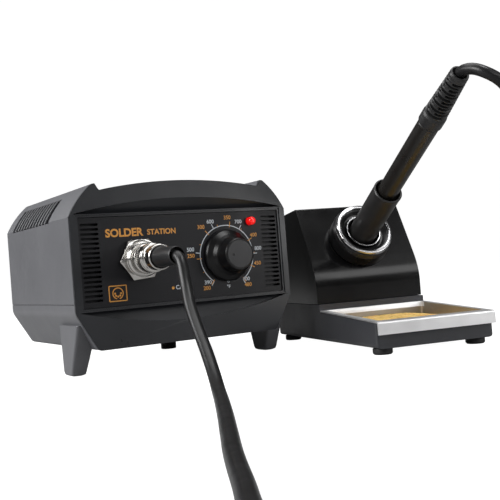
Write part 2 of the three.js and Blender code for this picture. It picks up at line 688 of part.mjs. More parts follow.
part(stand, 'stand_hood', hood(), 'hoodPaint');
TAB_SCREWS.forEach((at, i) => {
  const screw = facing(stand, `hood_screw_${i + 1}`, panScrew(7), 'nickel', at);
  screw.position.y = BASE_LENGTH;
});

part(holder, 'holder_ring', ring([
  [12.2, GAP], [RING_R, GAP], [RING_R, 6], [RING_R - 0.5, 10.6], [RING_R - 1.8, RING_DEPTH],
  [16, RING_DEPTH], [12.2, RING_DEPTH - 2.4],
], 32), 'blackPlastic');
part(holder, 'holder_trim_ring', ring([
  [17.2, RING_DEPTH + GAP], [19.9, RING_DEPTH + GAP], [20.3, RING_DEPTH + 0.9], [19.6, RING_DEPTH + 1.9],
  [17.8, RING_DEPTH + 1.9],
], 32), 'nickel');
part(holder, 'holder_funnel', ring([
  [FUNNEL_R[0] - 3, -48], [FUNNEL_R[1] - 3, -48], [FUNNEL_R[1], -28], [FUNNEL_R[1], RING_DEPTH - 0.6],
  [FUNNEL_R[0], RING_DEPTH - 0.6], [FUNNEL_R[0], -28],
], 28), 'sheetSteel');

// ---------------------------------------------------------------- iron

part(holder, 'iron_handle', ring([
  [5, -2], [TUBE_R - 0.4, -2], [TUBE_R, -1], [TUBE_R, TUBE_END], [5, TUBE_END],
], 24), 'blackPlastic');
part(holder, 'iron_grip_sleeve', ring([
  [7.05, 4], [8.8, 4], [SLEEVE_R, 8], [SLEEVE_R, SLEEVE_END - 0.8], [SLEEVE_R - 0.5, SLEEVE_END],
  [8.3, SLEEVE_END], [8.3, SLEEVE_END - 8], [7.05, SLEEVE_END - 9],
], 28), 'rubber');
part(holder, 'iron_strain_relief', turned([
  [0, 119], [4.7, 119], [4.7, TUBE_END + GAP], [7.3, TUBE_END + GAP], [7.5, 129], [7.5, 135.4],
  [7, 136.6], [5.6, RELIEF_END - 1], [5.3, RELIEF_END], [4.9, RELIEF_END], [4.2, RELIEF_END - 3.2],
  [0, RELIEF_END - 3.2],
], 24), 'rubber');
part(holder, 'iron_nut', ring([
  [3.7, -15], [5.2, -15], [6.6, -12.5], [6.6, -2.4], [3.7, -2.4],
], 24), 'nickel');
part(holder, 'iron_barrel', ring([
  [2.6, -34], [3.3, -34], [3.3, -3], [2.6, -3],
], 20), 'nickel');
part(holder, 'heating_element', cylinder(2, -45.5, 20, 12), 'ceramic');
part(holder, 'iron_tip', turned([
  [0, TIP_END], [0.5, TIP_END + 0.4], [3.2, TIP_END + 13], [3.2, -34.3], [2.4, -34.3], [2.4, -46], [0, -46],
], 20), 'nickel');

// ---------------------------------------------------------------- lead

// The lead leaves the plug, drops to the surface and lies in a loose sweep in front of the
// controller, then rises beside the stand to the iron. Points are from the controller's own frame.
const LEAD_TO_SPLIT = [
  [-32, -49.7, 68.2], [-32, -52.5, 67.8], [-32, -55, 66.7], [-32.1, -57.2, 64.9], [-32.4, -59, 62.3],
  [-32.9, -61, 58], [-33.9, -65, 51], [-35.4, -69.6, 45.2], [-37.3, -75.4, 39.4], [-41.2, -90, 28.5],
  [-46, -107, 18.4], [-52, -124.5, 9.6], [-58.6, -140.5, 4.5], [-67, -158.5, 3.4], [-77.5, -180, 3.4],
  [-88.4, -202, 3.4],
];
const LEAD_FROM_SPLIT = [
  [-88.6, -202.4, 3.4], [-102, -229, 3.4], [-116.5, -258, 3.4], [-131, -289, 3.4], [-145, -320, 3.4],
  [-153, -352, 3.4], [-150, -386, 3.4], [-130, -413, 3.4], [-98, -425, 3.4], [-64, -417, 3.4],
  [-34, -397, 3.4], [-2, -380, 3.4], [36, -375, 3.4], [77, -379, 3.4], [118, -374, 3.4],
  [153, -353, 3.4], [174, -320, 3.4], [178, -281, 3.4], [172, -244, 4.4], [163, -214, 12],
  [153, -190, 34], [146.5, -178, 64], [138.5, -170.3, 93.2], [131, -166.8, 118.5], [120.8, -165.4, 136.8],
  [111.2, -165, 146.8], [104.9, -160.8, 152], [102.9, -153.7, 155.4],
];
const LEAD_END = 166.8;             // inside the strain relief's mouth, along the iron's line

function ironPoint(along) {
  const tilt = THREE.MathUtils.degToRad(HOLDER_TILT);
  const yaw = THREE.MathUtils.degToRad(STAND_YAW);
  const local = new THREE.Vector3(
    HOLDER_AT[0], HOLDER_AT[1] - along * Math.sin(tilt), HOLDER_AT[2] + along * Math.cos(tilt));
  return local.applyAxisAngle(new THREE.Vector3(0, 0, 1), yaw)
    .add(new THREE.Vector3(...STAND_AT)).sub(new THREE.Vector3(...STATION_AT));
}

function cordTube(points, step) {
  const path = new THREE.CatmullRomCurve3(points, false, 'centripetal');
  const section = polygon(Array.from({ length: CORD_SIDES }, (_, i) => {
    const angle = (2 * Math.PI * i) / CORD_SIDES;
    return [CORD_R * Math.cos(angle), CORD_R * Math.sin(angle)];
  }));
  const steps = Math.round(path.getLength() / step);
  return new THREE.ExtrudeGeometry(section, { steps, extrudePath: path, bevelEnabled: false });
}

const toPoints = (list) => list.map(([x, y, z]) => new THREE.Vector3(x, y, z));
part(station, 'cord_station_side', cordTube(toPoints(LEAD_TO_SPLIT), CORD_STEP[0]), 'rubber');
part(station, 'cord_iron_side', cordTube([
  ...toPoints(LEAD_FROM_SPLIT), ironPoint(LEAD_END + 3.6), ironPoint(LEAD_END),
], CORD_STEP[1]), 'rubber');

export default object;
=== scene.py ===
"""Soldering iron station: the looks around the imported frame.

Shapes are drawn in millimetres in the controller's or the stand's own frame, and placed in metres.
"""
from math import atan2, ceil, copysign, cos, pi, radians, sin, sqrt, tan

import bmesh
import bpy
from mathutils import Matrix, Quaternion, Vector, noise


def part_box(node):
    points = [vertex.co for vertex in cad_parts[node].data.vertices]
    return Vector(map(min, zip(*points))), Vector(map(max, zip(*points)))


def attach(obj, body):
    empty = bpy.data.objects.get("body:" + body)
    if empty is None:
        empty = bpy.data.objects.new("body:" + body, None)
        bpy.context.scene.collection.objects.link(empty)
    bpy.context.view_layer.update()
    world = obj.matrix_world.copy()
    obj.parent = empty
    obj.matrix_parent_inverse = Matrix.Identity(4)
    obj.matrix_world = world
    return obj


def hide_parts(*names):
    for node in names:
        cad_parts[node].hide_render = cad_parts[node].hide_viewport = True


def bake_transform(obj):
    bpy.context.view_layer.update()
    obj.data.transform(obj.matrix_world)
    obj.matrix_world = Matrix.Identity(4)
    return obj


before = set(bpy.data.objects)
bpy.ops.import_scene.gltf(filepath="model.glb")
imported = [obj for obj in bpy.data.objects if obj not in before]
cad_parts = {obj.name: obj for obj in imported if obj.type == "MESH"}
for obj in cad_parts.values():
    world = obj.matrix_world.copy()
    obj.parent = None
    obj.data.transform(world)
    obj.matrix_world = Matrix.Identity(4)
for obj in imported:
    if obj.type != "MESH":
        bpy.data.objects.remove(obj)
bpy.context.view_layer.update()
scene = bpy.context.scene

# ---- frames of reference, in mm

TO_METRES = Matrix.Scale(0.001, 4)
HOLDER_TILT = radians(60)           # from upright to the iron's line
HOLDER_AT = (0, 98.2, 71)           # where that line meets the hood's face


def linked(name, data):
    obj = bpy.data.objects.new(name, data)
    scene.collection.objects.link(obj)
    return obj


def as_mesh(bm, name):
    mesh = bpy.data.meshes.new(name)
    bm.to_mesh(mesh)
    bm.free()
    return mesh


def smooth(mesh):
    mesh.polygons.foreach_set("use_smooth", [True] * len(mesh.polygons))


def outward(bm):
    bmesh.ops.recalc_face_normals(bm, faces=bm.faces)
    return bm


def shift(x, y, z):
    return Matrix.Translation((x, y, z))


def middle(node):
    low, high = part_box(node)
    return (low + high) * 500


def station_frame():
    """On the surface below the middle of the bezel's face; +Y runs back into the case."""
    low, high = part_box("front_bezel")
    return shift(500 * (low.x + high.x), 1000 * low.y, 0)


def stand_frame():
    """On the surface below the middle of the stand's front edge."""
    front_left, front_right, rear_left = (middle(f"stand_foot_{i}") for i in (1, 2, 3))
    across = (front_right - front_left).to_2d()
    back = (rear_left - front_left).to_2d().normalized()
    yaw = atan2(across.y, across.x)
    origin = (front_left + front_right).to_2d() / 2 - back * STAND_FOOT_INSET
    return shift(origin.x, origin.y, 0) @ Matrix.Rotation(yaw, 4, "Z")


STAND_FOOT_INSET = 9
STATION = station_frame()
STAND = stand_frame()
HOLDER = STAND @ shift(*HOLDER_AT) @ Matrix.Rotation(HOLDER_TILT, 4, "X")


def on_front(node):
    """A frame on the front panel whose Z runs out towards the user."""
    at = STATION.inverted() @ middle(node)
    return STATION @ shift(at.x, 0, at.z) @ Matrix.Rotation(pi / 2, 4, "X")


def under(node):
    """A frame on the surface below a node's middle."""
    at = middle(node)
    return shift(at.x, at.y, 0)


# ---- mesh helpers, in mm

def filleted(points, radius=0.5, steps=4, closed=True):
    """The outline with its corners rounded. A point's third number is a radius of its own."""
    made = []
    for i, point in enumerate(points):
        corner = Vector(point[:2])
        r = point[2] if len(point) > 2 else radius
        before = Vector(points[i - 1][:2]) - corner
        after = Vector(points[(i + 1) % len(points)][:2]) - corner
        at_end = not closed and i in (0, len(points) - 1)
        turn = 0 if at_end or not before.length or not after.length else pi - before.angle(after)
        if r <= 0 or turn < 0.02:
            made.append(corner)
            continue
        reach = min(r * tan(turn / 2), 0.45 * before.length, 0.45 * after.length)
        first, last = corner + before.normalized() * reach, corner + after.normalized() * reach
        for k in range(steps + 1):
            t = k / steps
            made.append((1 - t) ** 2 * first + 2 * t * (1 - t) * corner + t * t * last)
    return made


def bowed(start, control, end, steps=16):
    """Points along a quadratic arc, without its two ends."""
    a, b, c = Vector(start), Vector(control), Vector(end)
    shares = [k / steps for k in range(1, steps)]
    return [tuple((1 - t) ** 2 * a + 2 * t * (1 - t) * b + t * t * c) + (0,) for t in shares]


def resampled(outline, step):
    """The open outline again, with no stretch longer than step."""
    made = [outline[0]]
    for a, b in zip(outline, outline[1:]):
        count = max(1, ceil((b - a).length / step))
        made += [a.lerp(b, (k + 1) / count) for k in range(count)]
    return made


def turned(profile, sides=96, radius=0.3, steps=3, step=None, shape=None):
    """A turned solid about Z, from [radius, height] points. shape(r, height, angle) may change a radius."""
    closed = profile[0][0] > 0
    outline = filleted(profile, radius, steps, closed)
    if step:
        outline = resampled(outline + outline[:1] if closed else outline, step)
        outline = outline[:-1] if closed else outline
    bm = bmesh.new()
    rings = []
    for r, height in outline:
        if r < 1e-6:
            rings.append([bm.verts.new((0, 0, height))])
            continue
        ring = []
        for i in range(sides):
            angle = 2 * pi * i / sides
            out = shape(r, height, angle) if shape else r
            ring.append(bm.verts.new((out * cos(angle), out * sin(angle), height)))
        rings.append(ring)
    for low, high in zip(rings, rings[1:] + ([rings[0]] if closed else [])):
        for i in range(sides):
            j = (i + 1) % sides
            corners = [low[i % len(low)], low[j % len(low)], high[j % len(high)], high[i % len(high)]]
            corners = list(dict.fromkeys(corners))
            if len(corners) > 2:
                bm.faces.new(corners)
    return outward(bm)


AXES = {
    "X": lambda a, b, t: (t, a, b),
    "Y": lambda a, b, t: (a, t, b),
    "Z": lambda a, b, t: (a, b, t),
}


def prism(outline, low, high, axis="Y"):
    """A closed prism of an outline along an axis."""
    bm = bmesh.new()
    bottom, top = ([bm.verts.new(AXES[axis](p[0], p[1], t)) for p in outline] for t in (low, high))
    bm.faces.new(bottom)
    bm.faces.new(top)
    for i in range(len(outline)):
        bm.faces.new((bottom[i - 1], bottom[i], top[i], top[i - 1]))
    return outward(bm)


def rectangle(x, y):
    return [(x[0], y[0]), (x[1], y[0]), (x[1], y[1]), (x[0], y[1])]


def block(x, y, z):
    return prism(rectangle(x, y), *z, "Z")


def rounded_plate(half, y0, y1, z, radius, steps=6):
    """A block about x = 0 whose upright edges are rounded."""
    return prism(filleted(rectangle((-half, half), (y0, y1)), radius, steps), *z, "Z")


def moved(bm, matrix):
    bm.transform(matrix)
    return bm


def joined(*parts):
    """The parts in one mesh, without joining their solids."""
    bm = bmesh.new()
    for part in parts:
        mesh = as_mesh(part, "part")
        bm.from_mesh(mesh)
        bpy.data.meshes.remove(mesh)
    return bm


def combined(first, second, operation="DIFFERENCE"):
    """A boolean of two closed meshes."""
    objects = [linked("boolean", as_mesh(bm, "boolean")) for bm in (first, second)]
    modifier = objects[0].modifiers.new("boolean", "BOOLEAN")
    modifier.object, modifier.operation, modifier.solver = objects[1], operation, "EXACT"
    view = bpy.context.evaluated_depsgraph_get()
    mesh = objects[0].evaluated_get(view).to_mesh()
    bm = bmesh.new()
    bm.from_mesh(mesh)
    objects[0].evaluated_get(view).to_mesh_clear()
    for o in objects:
        mesh = o.data
        bpy.data.objects.remove(o)
        bpy.data.meshes.remove(mesh)
    return bm


def cut(bm, *cutters):
    for cutter in cutters:
        bm = combined(bm, cutter)
    return bm


def soften(obj, width, segments, angle=35):
    """Rounds the edges of a finished piece, by a width in mm."""
    bevel = obj.modifiers.new("edges", "BEVEL")
    bevel.width, bevel.segments = width * 0.001, segments
    bevel.limit_method, bevel.angle_limit = "ANGLE", radians(angle)
    obj.modifiers.new("normals", "WEIGHTED_NORMAL").keep_sharp = True


def piece(name, bm, material, at=None, stands_for="", body="station", bevel=0, segments=2, sharp=32):
    """A finished piece from a mesh in mm, on its body and standing for CAD nodes."""
    bm.transform(TO_METRES @ (at or STATION))
    mesh = as_mesh(bm, name)
    smooth(mesh)
    if not bevel:
        mesh.set_sharp_from_angle(angle=radians(sharp))
    mesh.materials.append(material)
    obj = linked(name, mesh)
    if bevel:
        soften(obj, bevel, segments)
    if body:
        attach(obj, body)
    if stands_for:
        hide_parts(*stands_for.split())
    return obj


def keep(material, bevel, *nodes):
    """CAD nodes whose shape is right get their finish, and their edges rounded."""
    for node in nodes:
        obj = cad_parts[node]
        obj.data.materials.clear()
        obj.data.materials.append(material)
        if bevel:
            smooth(obj.data)
            soften(obj, bevel, 2)


# ---- materials

class Finish:
    """A Principled material under construction; its textures run in the frame's metres."""

    def __init__(self, name, color, roughness, metallic=0, specular=0.5, **sockets):
        self.material = bpy.data.materials.new(name)
        self.material.use_nodes = True
        self.nodes = self.material.node_tree.nodes
        self.links = self.material.node_tree.links
        self.bsdf = self.nodes["Principled BSDF"]
        self.color, self.height = color, None
        self.place = self.nodes.new("ShaderNodeTexCoord").outputs["Object"]
        sockets.update(Base_Color=(*color, 1), Roughness=roughness, Metallic=metallic,
                       Specular_IOR_Level=specular)
        for name, value in sockets.items():
            self.bsdf.inputs[name.replace("_", " ")].default_value = value

    def drive(self, **sources):
        """Links outputs to the shader's own sockets."""
        for name, source in sources.items():
            self.links.new(source, self.bsdf.inputs[name.replace("_", " ")])

    def add(self, kind, vector=None, **sockets):
        """A new node with its numbers set and its texture place linked."""
        node = self.nodes.new(f"ShaderNode{kind}")
        for name, value in sockets.items():
            node.inputs[name.replace("_", " ")].default_value = value
        if kind.startswith("Tex") or kind in ("Mapping", "SeparateXYZ"):
            self.links.new(vector or self.place, node.inputs["Vector"])
        return node

    def stretched(self, scale):
        return self.add("Mapping", Scale=scale).outputs["Vector"]

    def noise(self, scale, detail=3, vector=None):
        return self.add("TexNoise", vector, Scale=scale, Detail=detail, Roughness=0.55).outputs["Fac"]

    def cells(self, scale, feature="F1"):
        node = self.add("TexVoronoi", Scale=scale)
        node.feature = feature
        return node.outputs["Distance"]

    def bands(self, scale, along, distortion):
        node = self.add("TexWave", Scale=scale, Distortion=distortion)
        node.bands_direction = along
        return node.outputs["Fac"]

    def ramp(self, source, *stops):
        """A colour for each (place, colour) stop."""
        node = self.add("ValToRGB")
        elements = node.color_ramp.elements
        for i, (at, color) in enumerate(stops):
            element = elements[i] if i < len(elements) else elements.new(at)
            element.position, element.color = at, (*color, 1)
        self.links.new(source, node.inputs["Fac"])
        return node.outputs["Color"]

    def ranged(self, source, low, high, start=0.3, end=0.7):
        node = self.add("MapRange", From_Min=start, From_Max=end, To_Min=low, To_Max=high)
        self.links.new(source, node.inputs["Value"])
        return node.outputs["Result"]

    def mottle(self, scale, spread=0.12, tint=(0, 0, 0), detail=4):
        """Colour that varies a little about the base."""
        dark = [max(0, c * (1 - spread)) for c in self.color]
        light = [c * (1 + spread) + t for c, t in zip(self.color, tint)]
        self.drive(Base_Color=self.ramp(self.noise(scale, detail), (0.3, dark), (0.7, light)))
        return self

    def gloss(self, scale, low, high, detail=4, vector=None):
        self.drive(Roughness=self.ranged(self.noise(scale, detail, vector), low, high))
        return self

    def relief(self, height, depth, strength=1):
        """Adds a bump of that depth in mm over the ones before it."""
        node = self.add("Bump", Strength=strength, Distance=depth * 0.001)
        self.links.new(height, node.inputs["Height"])
        if self.height:
            self.links.new(self.height, node.inputs["Normal"])
        self.height = node.outputs["Normal"]
        self.drive(Normal=node.outputs["Normal"])
        return self


def moulded(name, color, rough, grain=900, depth=0.03, spread=0.1, **sockets):
    """A moulded plastic: spark-eroded grain, faint flow marks and handling shine."""
    f = Finish(name, color, sum(rough) / 2, **sockets)
    f.mottle(14, spread).gloss(45, *rough)
    f.relief(f.cells(grain), depth, 0.6)
    f.relief(f.noise(grain * 2.3, 2), depth * 0.6, 0.5)
    return f.relief(f.noise(18, 2), 0.05, 0.2).material


def rubber(name, color, rough=(0.45, 0.62), depth=0.02, **sockets):
    """A soft rubber or silicone: fine dust, a waxy gloss and shallow ripples."""
    f = Finish(name, color, sum(rough) / 2, **sockets)
    f.mottle(90, 0.22, (0.004, 0.004, 0.004), 6).gloss(120, *rough, 6)
    f.relief(f.noise(2600, 3), depth, 0.5)
    return f.relief(f.noise(160, 3), 0.06, 0.3).material


def plated(name, color, rough, stretch, depth=0.006):
    """Bright plated metal with fine lines along one direction."""
    f = Finish(name, color, sum(rough) / 2, 1)
    lines = f.noise(1, 4, f.stretched(stretch))
    f.mottle(60, 0.06).gloss(1, *rough, 5, f.stretched([0.6 * s for s in stretch]))
    f.relief(lines, depth, 0.7)
    return f.relief(f.noise(500, 3), 0.001, 0.4).material


def printed(name, color):
    """Screen-printed ink: slightly uneven and semi-matt."""
    f = Finish(name, color, 0.45)
    f.mottle(1800, 0.16, detail=2).gloss(900, 0.36, 0.55)
    return f.relief(f.noise(2400, 2), 0.01, 0.5).material


def glossy_paint():
    """Stoved black enamel: orange peel, faint dust and polishing haze."""
    f = Finish("black_enamel", (0.0022, 0.0022, 0.0025), 0.2,
               specular=0.32, Coat_Weight=0.12, Coat_Roughness=0.16)
    f.mottle(200, 0.5, (0.0008, 0.0008, 0.0008), 6).gloss(30, 0.17, 0.24, 5)
    f.relief(f.noise(420, 2), 0.004, 0.3)
    return f.relief(f.noise(2200, 2), 0.002, 0.3).material


def foam():
    """Damp cellulose sponge: open pores of several sizes with painted shade in their hollows, a little
    scorched.
    """
    f = Finish("cellulose_sponge", (0.85, 0.58, 0.22), 0.9, Subsurface_Weight=0.12, Subsurface_Scale=0.002)
    pores = f.cells(340)
    small = f.cells(1500)
    # Painted shade: the pores' hollows, where the bump is lowest, are coloured dark brown.
    pore_shade_tone = f.ramp(pores, (0.04, (0.3, 0.16, 0.03)), (0.22, (0.74, 0.46, 0.12)), (0.75, (0.88, 0.6, 0.2)))
    stain = f.ramp(f.noise(60, 5), (0.5, (1, 1, 1)), (0.76, (0.66, 0.5, 0.3)))
    mix = f.add("Mix")
    mix.data_type, mix.blend_type = "RGBA", "MULTIPLY"
    mix.inputs["Factor"].default_value = 0.8
    f.links.new(pore_shade_tone, mix.inputs["A"])
    f.links.new(stain, mix.inputs["B"])
    f.drive(Base_Color=mix.outputs["Result"])
    f.relief(f.ranged(pores, 0, 1, 0, 0.5), 0.9, 0.9)
    return f.relief(f.ranged(small, 0, 1, 0, 0.5), 0.3, 0.7).material


def lamp_glow():
    """A lit red indicator lens."""
    f = Finish("lamp_red", (0.75, 0.01, 0.008), 0.12, Emission_Color=(1, 0.008, 0.008, 1),
               Emission_Strength=0.55, Coat_Weight=0.8, Coat_Roughness=0.05)
    f.mottle(900, 0.15, detail=1).gloss(1400, 0.08, 0.18)
    return f.relief(f.cells(1600), 0.05, 0.4).material


def laminated():
    """Stacked core laminations with their varnish."""
    f = Finish("core_steel", (0.16, 0.155, 0.15), 0.45, 0.8)
    f.mottle(120, 0.3).gloss(80, 0.35, 0.6)
    return f.relief(f.bands(420, "Y", 0.4), 0.2, 0.7).material


def wound():
    """Enamelled copper wire under tape."""
    f = Finish("copper_winding", (0.42, 0.16, 0.05), 0.35, 0.6)
    f.mottle(200, 0.25).gloss(90, 0.25, 0.5)
    return f.relief(f.bands(300, "Z", 1), 0.3, 0.8).material


def board():
    """A green circuit board with paler tracks."""
    f = Finish("circuit_board", (0.01, 0.09, 0.03), 0.35)
    tracks = f.cells(260, "DISTANCE_TO_EDGE")
    f.drive(Base_Color=f.ramp(tracks, (0.04, (0.04, 0.2, 0.06)), (0.08, (0.012, 0.075, 0.028))))
    return f.gloss(200, 0.25, 0.45).relief(tracks, 0.05, 0.5).material


def pale_floor():
    """A plain matt studio surface, lit up from behind the object."""
    f = Finish("studio_floor", (0.25, 0.25, 0.25), 0.85, Emission_Color=(1, 1, 1, 1), specular=0.1)
    f.mottle(3, 0.01)
    turn = f.add("Mapping", Rotation=(0, 0, atan2(LOOKS_ALONG[0], LOOKS_ALONG[1])))
    split = f.add("SeparateXYZ", turn.outputs["Vector"])
    # The sheet looks white, but lights the object and shows in its gloss much less than that.
    strength = f.add("MapRange")
    f.links.new(f.add("LightPath").outputs["Is Camera Ray"], strength.inputs["Value"])
    for level, (glow, along) in (("To Min", FLOOR_CAST), ("To Max", FLOOR_GLOW)):
        f.links.new(f.ranged(split.outputs["Y"], *glow, *along), strength.inputs[level])
    f.drive(Emission_Strength=strength.outputs["Result"])
    return f.relief(f.noise(300, 2), 0.02, 0.2).material


LOOKS_ALONG = (0.506, 0.862)        # the direction of the camera's view over the floor
# How bright the floor looks and how much it gives off, before and behind two distances along the view.
FLOOR_GLOW = (0.8, 1), (-0.45, -0.1)
FLOOR_CAST = (0.14, 0.03), (-0.12, 0.06)

CASE = moulded("case_grey", (0.1, 0.101, 0.109), (0.34, 0.42), 1300, 0.012, 0.05)
# Painted shade: a near-black, nearly unreflecting sheet behind the louvres stands in for the shade inside the
# case.
VENT_SHADE = moulded("vent_painted_shade", (0.004, 0.004, 0.005), (0.7, 0.8), 900, 0.02, 0.2, specular=0.02)
# Painted light: a lighter copy of the case grey, so the slats read as lit.
LIT_LOUVRES = moulded("louvre_grey_painted_light", (0.11, 0.111, 0.118), (0.34, 0.42), 1300, 0.012, 0.05)
BEZEL = moulded("bezel_charcoal", (0.017, 0.018, 0.021), (0.27, 0.36), 1100, 0.014, 0.12, specular=0.42)
PANEL = moulded("panel_black", (0.007, 0.007, 0.009), (0.34, 0.46), 1500, 0.014, 0.14, specular=0.25)
KNOB = moulded("knob_black", (0.0045, 0.0045, 0.005), (0.26, 0.34), 1900, 0.002, 0.2, specular=0.3)
CAP = moulded("knob_cap_matt", (0.026, 0.026, 0.028), (0.42, 0.55), 1600, 0.01, 0.1)
BLACK = moulded("black_plastic", (0.007, 0.007, 0.0075), (0.24, 0.34), 1400, 0.006, 0.15)
BARREL = moulded("plug_black", (0.01, 0.01, 0.011), (0.32, 0.42), 1200, 0.01, 0.12)
HANDLE = moulded("handle_black", (0.0105, 0.0095, 0.0085), (0.24, 0.34), 1700, 0.005, 0.15)
STAND_PLASTIC = moulded("stand_charcoal", (0.032, 0.033, 0.038), (0.36, 0.46), 1000, 0.02, 0.1)
SLEEVE = rubber("grip_rubber", (0.01, 0.0095, 0.0095), (0.34, 0.46))
RUBBER = rubber("black_rubber", (0.008, 0.008, 0.0085), (0.5, 0.68))
RELIEF = rubber("relief_rubber", (0.01, 0.01, 0.0105), (0.34, 0.46))
SILICONE = rubber("cord_silicone", (0.0085, 0.0085, 0.009), (0.3, 0.38), 0.006, specular=0.3)
CHROME = plated("nickel_plate", (0.58, 0.565, 0.54), (0.15, 0.22), (60, 1200, 60), 0.0006)
BRIGHT = plated("bright_chrome", (0.54, 0.54, 0.55), (0.14, 0.22), (300, 300, 300), 0.001)
SCREW = plated("zinc_screw", (0.62, 0.62, 0.63), (0.22, 0.38), (500, 500, 500), 0.002)
STEEL = plated("brushed_steel", (0.84, 0.835, 0.84), (0.38, 0.48), (30, 30, 1200), 0.003)
# Painted shade: a darker steel for the inside of the sponge pan, standing in for the shade and dark
# reflections in it.
PAN_SHADE_STEEL = plated("pan_inside_painted_shade", (0.4, 0.36, 0.3), (0.4, 0.52), (300, 300, 900), 0.006)
TUBE_STEEL = plated("element_tube", (0.6, 0.58, 0.55), (0.2, 0.32), (900, 60, 900))
TIP = plated("iron_plating", (0.5, 0.49, 0.48), (0.3, 0.5), (400, 400, 400), 0.01)
ALUMINIUM = plated("aluminium", (0.7, 0.71, 0.73), (0.25, 0.4), (60, 60, 1800))
CERAMIC = moulded("ceramic_white", (0.62, 0.57, 0.48), (0.5, 0.65), 2400, 0.01, 0.06)
ORANGE = printed("ink_orange", (0.62, 0.27, 0.035))
WHITE = printed("ink_white", (0.55, 0.59, 0.63))
ENAMEL = glossy_paint()
SPONGE = foam()
LAMP = lamp_glow()

# ---- camera

CAMERA_AT = (-0.2946, -0.4847, 0.05939)
LOOKS_UP = radians(1.015)
ROLL = radians(-4.49)
LENS = 61.24


def make_camera():
    data = bpy.data.cameras.new("camera")
    data.lens, data.sensor_width = LENS, 36
    data.clip_start, data.clip_end = 0.02, 60
    camera = scene.camera = linked("camera", data)
    ahead = Vector((*LOOKS_ALONG, 0)).normalized() * cos(LOOKS_UP) + Vector((0, 0, sin(LOOKS_UP)))
    camera.location = CAMERA_AT
    camera.rotation_mode = "QUATERNION"
    camera.rotation_quaternion = ahead.to_track_quat("-Z", "Y") @ Quaternion((0, 0, 1), ROLL)


make_camera()

# ---- the lead

LEAD_DIAMETER = 0.0064
LEAD_SIDES = 20
LEAD_STEP = 3                     # mm between the tube's rings
# The route from the plug to the iron, in the controller's frame.
LEAD_ROUTE = [
    (-32, -49.7, 68.2), (-32, -52.5, 67.8), (-32, -55, 66.7), (-32.1, -57.2, 64.9), (-32.4, -59, 62.3),
    (-32.9, -61, 58), (-33.9, -65, 51), (-35.4, -69.6, 45.2), (-37.3, -75.4, 39.4), (-41.2, -90, 28.5),
    (-46, -107, 18.4), (-52, -124.5, 9.6), (-58.6, -140.5, 4.5), (-67, -158.5, 3.4), (-77.5, -180, 3.4),
    (-88.5, -202.2, 3.4),
    (-102, -229, 3.4), (-116.5, -258, 3.4), (-131, -289, 3.4), (-145, -320, 3.4),
    (-153, -352, 3.4), (-150, -386, 3.4), (-130, -413, 3.4), (-98, -425, 3.4), (-64, -417, 3.4),
    (-34, -397, 3.4), (-2, -380, 3.4), (36, -375, 3.4), (77, -379, 3.4), (118, -374, 3.4),
    (153, -353, 3.4), (174, -320, 3.4), (178, -281, 3.4), (172, -244, 4.4), (163, -214, 12),
    (153, -190, 34), (146.5, -178, 64), (138.5, -170.3, 93.2), (131, -166.8, 118.5), (120.8, -165.4, 136.8),
    (111.2, -165, 146.8), (104.9, -160.8, 152), (102.9, -153.7, 155.4),
]
LEAD_END = 166.8                    # inside the strain relief's mouth, along the iron's line


def centripetal(points, step):
    """Points about step apart on the centripetal Catmull-Rom curve."""
    first, last = 2 * points[0] - points[1], 2 * points[-1] - points[-2]
    padded, made = [first, *points, last], [points[0]]
    for p0, p1, p2, p3 in zip(padded, padded[1:], padded[2:], padded[3:]):
        t1 = (p1 - p0).length ** 0.5
        t2 = t1 + (p2 - p1).length ** 0.5
        t3 = t2 + (p3 - p2).length ** 0.5
        count = max(1, round((p2 - p1).length / step))
        for k in range(1, count + 1):
            t = t1 + (t2 - t1) * k / count
            a1, a2 = p0.lerp(p1, t / t1), p1.lerp(p2, (t - t1) / (t2 - t1))
            a3 = p2.lerp(p3, (t - t2) / (t3 - t2))
            b1, b2 = a1.lerp(a2, t / t2), a2.lerp(a3, (t - t1) / (t3 - t1))
            made.append(b1.lerp(b2, (t - t1) / (t2 - t1)))
    return made


def tube(path, radius, sides):
    """A closed tube that follows the path without twisting."""
    bm = bmesh.new()
    ahead = [(b - a).normalized() for a, b in zip(path, path[1:])]
    ahead = [ahead[0], *[(a + b).normalized() for a, b in zip(ahead, ahead[1:])], ahead[-1]]
    side = ahead[0].orthogonal().normalized()
    rings = []
    for point, direction in zip(path, ahead):
        side = (side - direction * side.dot(direction)).normalized()
        up = direction.cross(side)
        angles = [2 * pi * i / sides for i in range(sides)]
        rings.append([bm.verts.new(point + radius * (cos(a) * side + sin(a) * up)) for a in angles])
    for low, high in zip(rings, rings[1:]):
        for i in range(sides):
            bm.faces.new((low[i - 1], low[i], high[i], high[i - 1]))
    bm.faces.new(rings[0])
    bm.faces.new(rings[-1])
    return outward(bm)


def lead_path():
    inside = STATION.inverted() @ HOLDER
    ends = [inside @ Vector((0, 0, LEAD_END + 3.6)), inside @ Vector((0, 0, LEAD_END))]
    return centripetal([Vector(p) for p in LEAD_ROUTE] + ends, LEAD_STEP)


def make_lead():
    path = lead_path()
    lead = piece("lead", tube(path, LEAD_DIAMETER * 500, LEAD_SIDES), SILICONE,
                 stands_for="cord_station_side cord_iron_side", body=None)
    return lead, [TO_METRES @ STATION @ p for p in path]


lead, lead_line = make_lead()

# ---- controller case

CASE_Y = (2, 143)
WALL = 2.5
SPLIT_Z = 44
REAR_ROUND = 3
VENT_Y = (40, 125)
VENT_Z = (95.2, 110.2)              # from the shoulder's corner to near the top of the slope
VENT_SLATS, VENT_PITCH, VENT_GAP = 11, 6.9, 9
SHOULDER, EAR, CROWN_END = (75, 96), (59.6, 115.2), (54.2, 111.7)
INWARD = Vector((SHOULDER[1] - EAR[1], EAR[0] - SHOULDER[0])).normalized()     # square to the slope
BULGE = (Vector(SHOULDER) + Vector(EAR)) / 2 - INWARD * 2.6


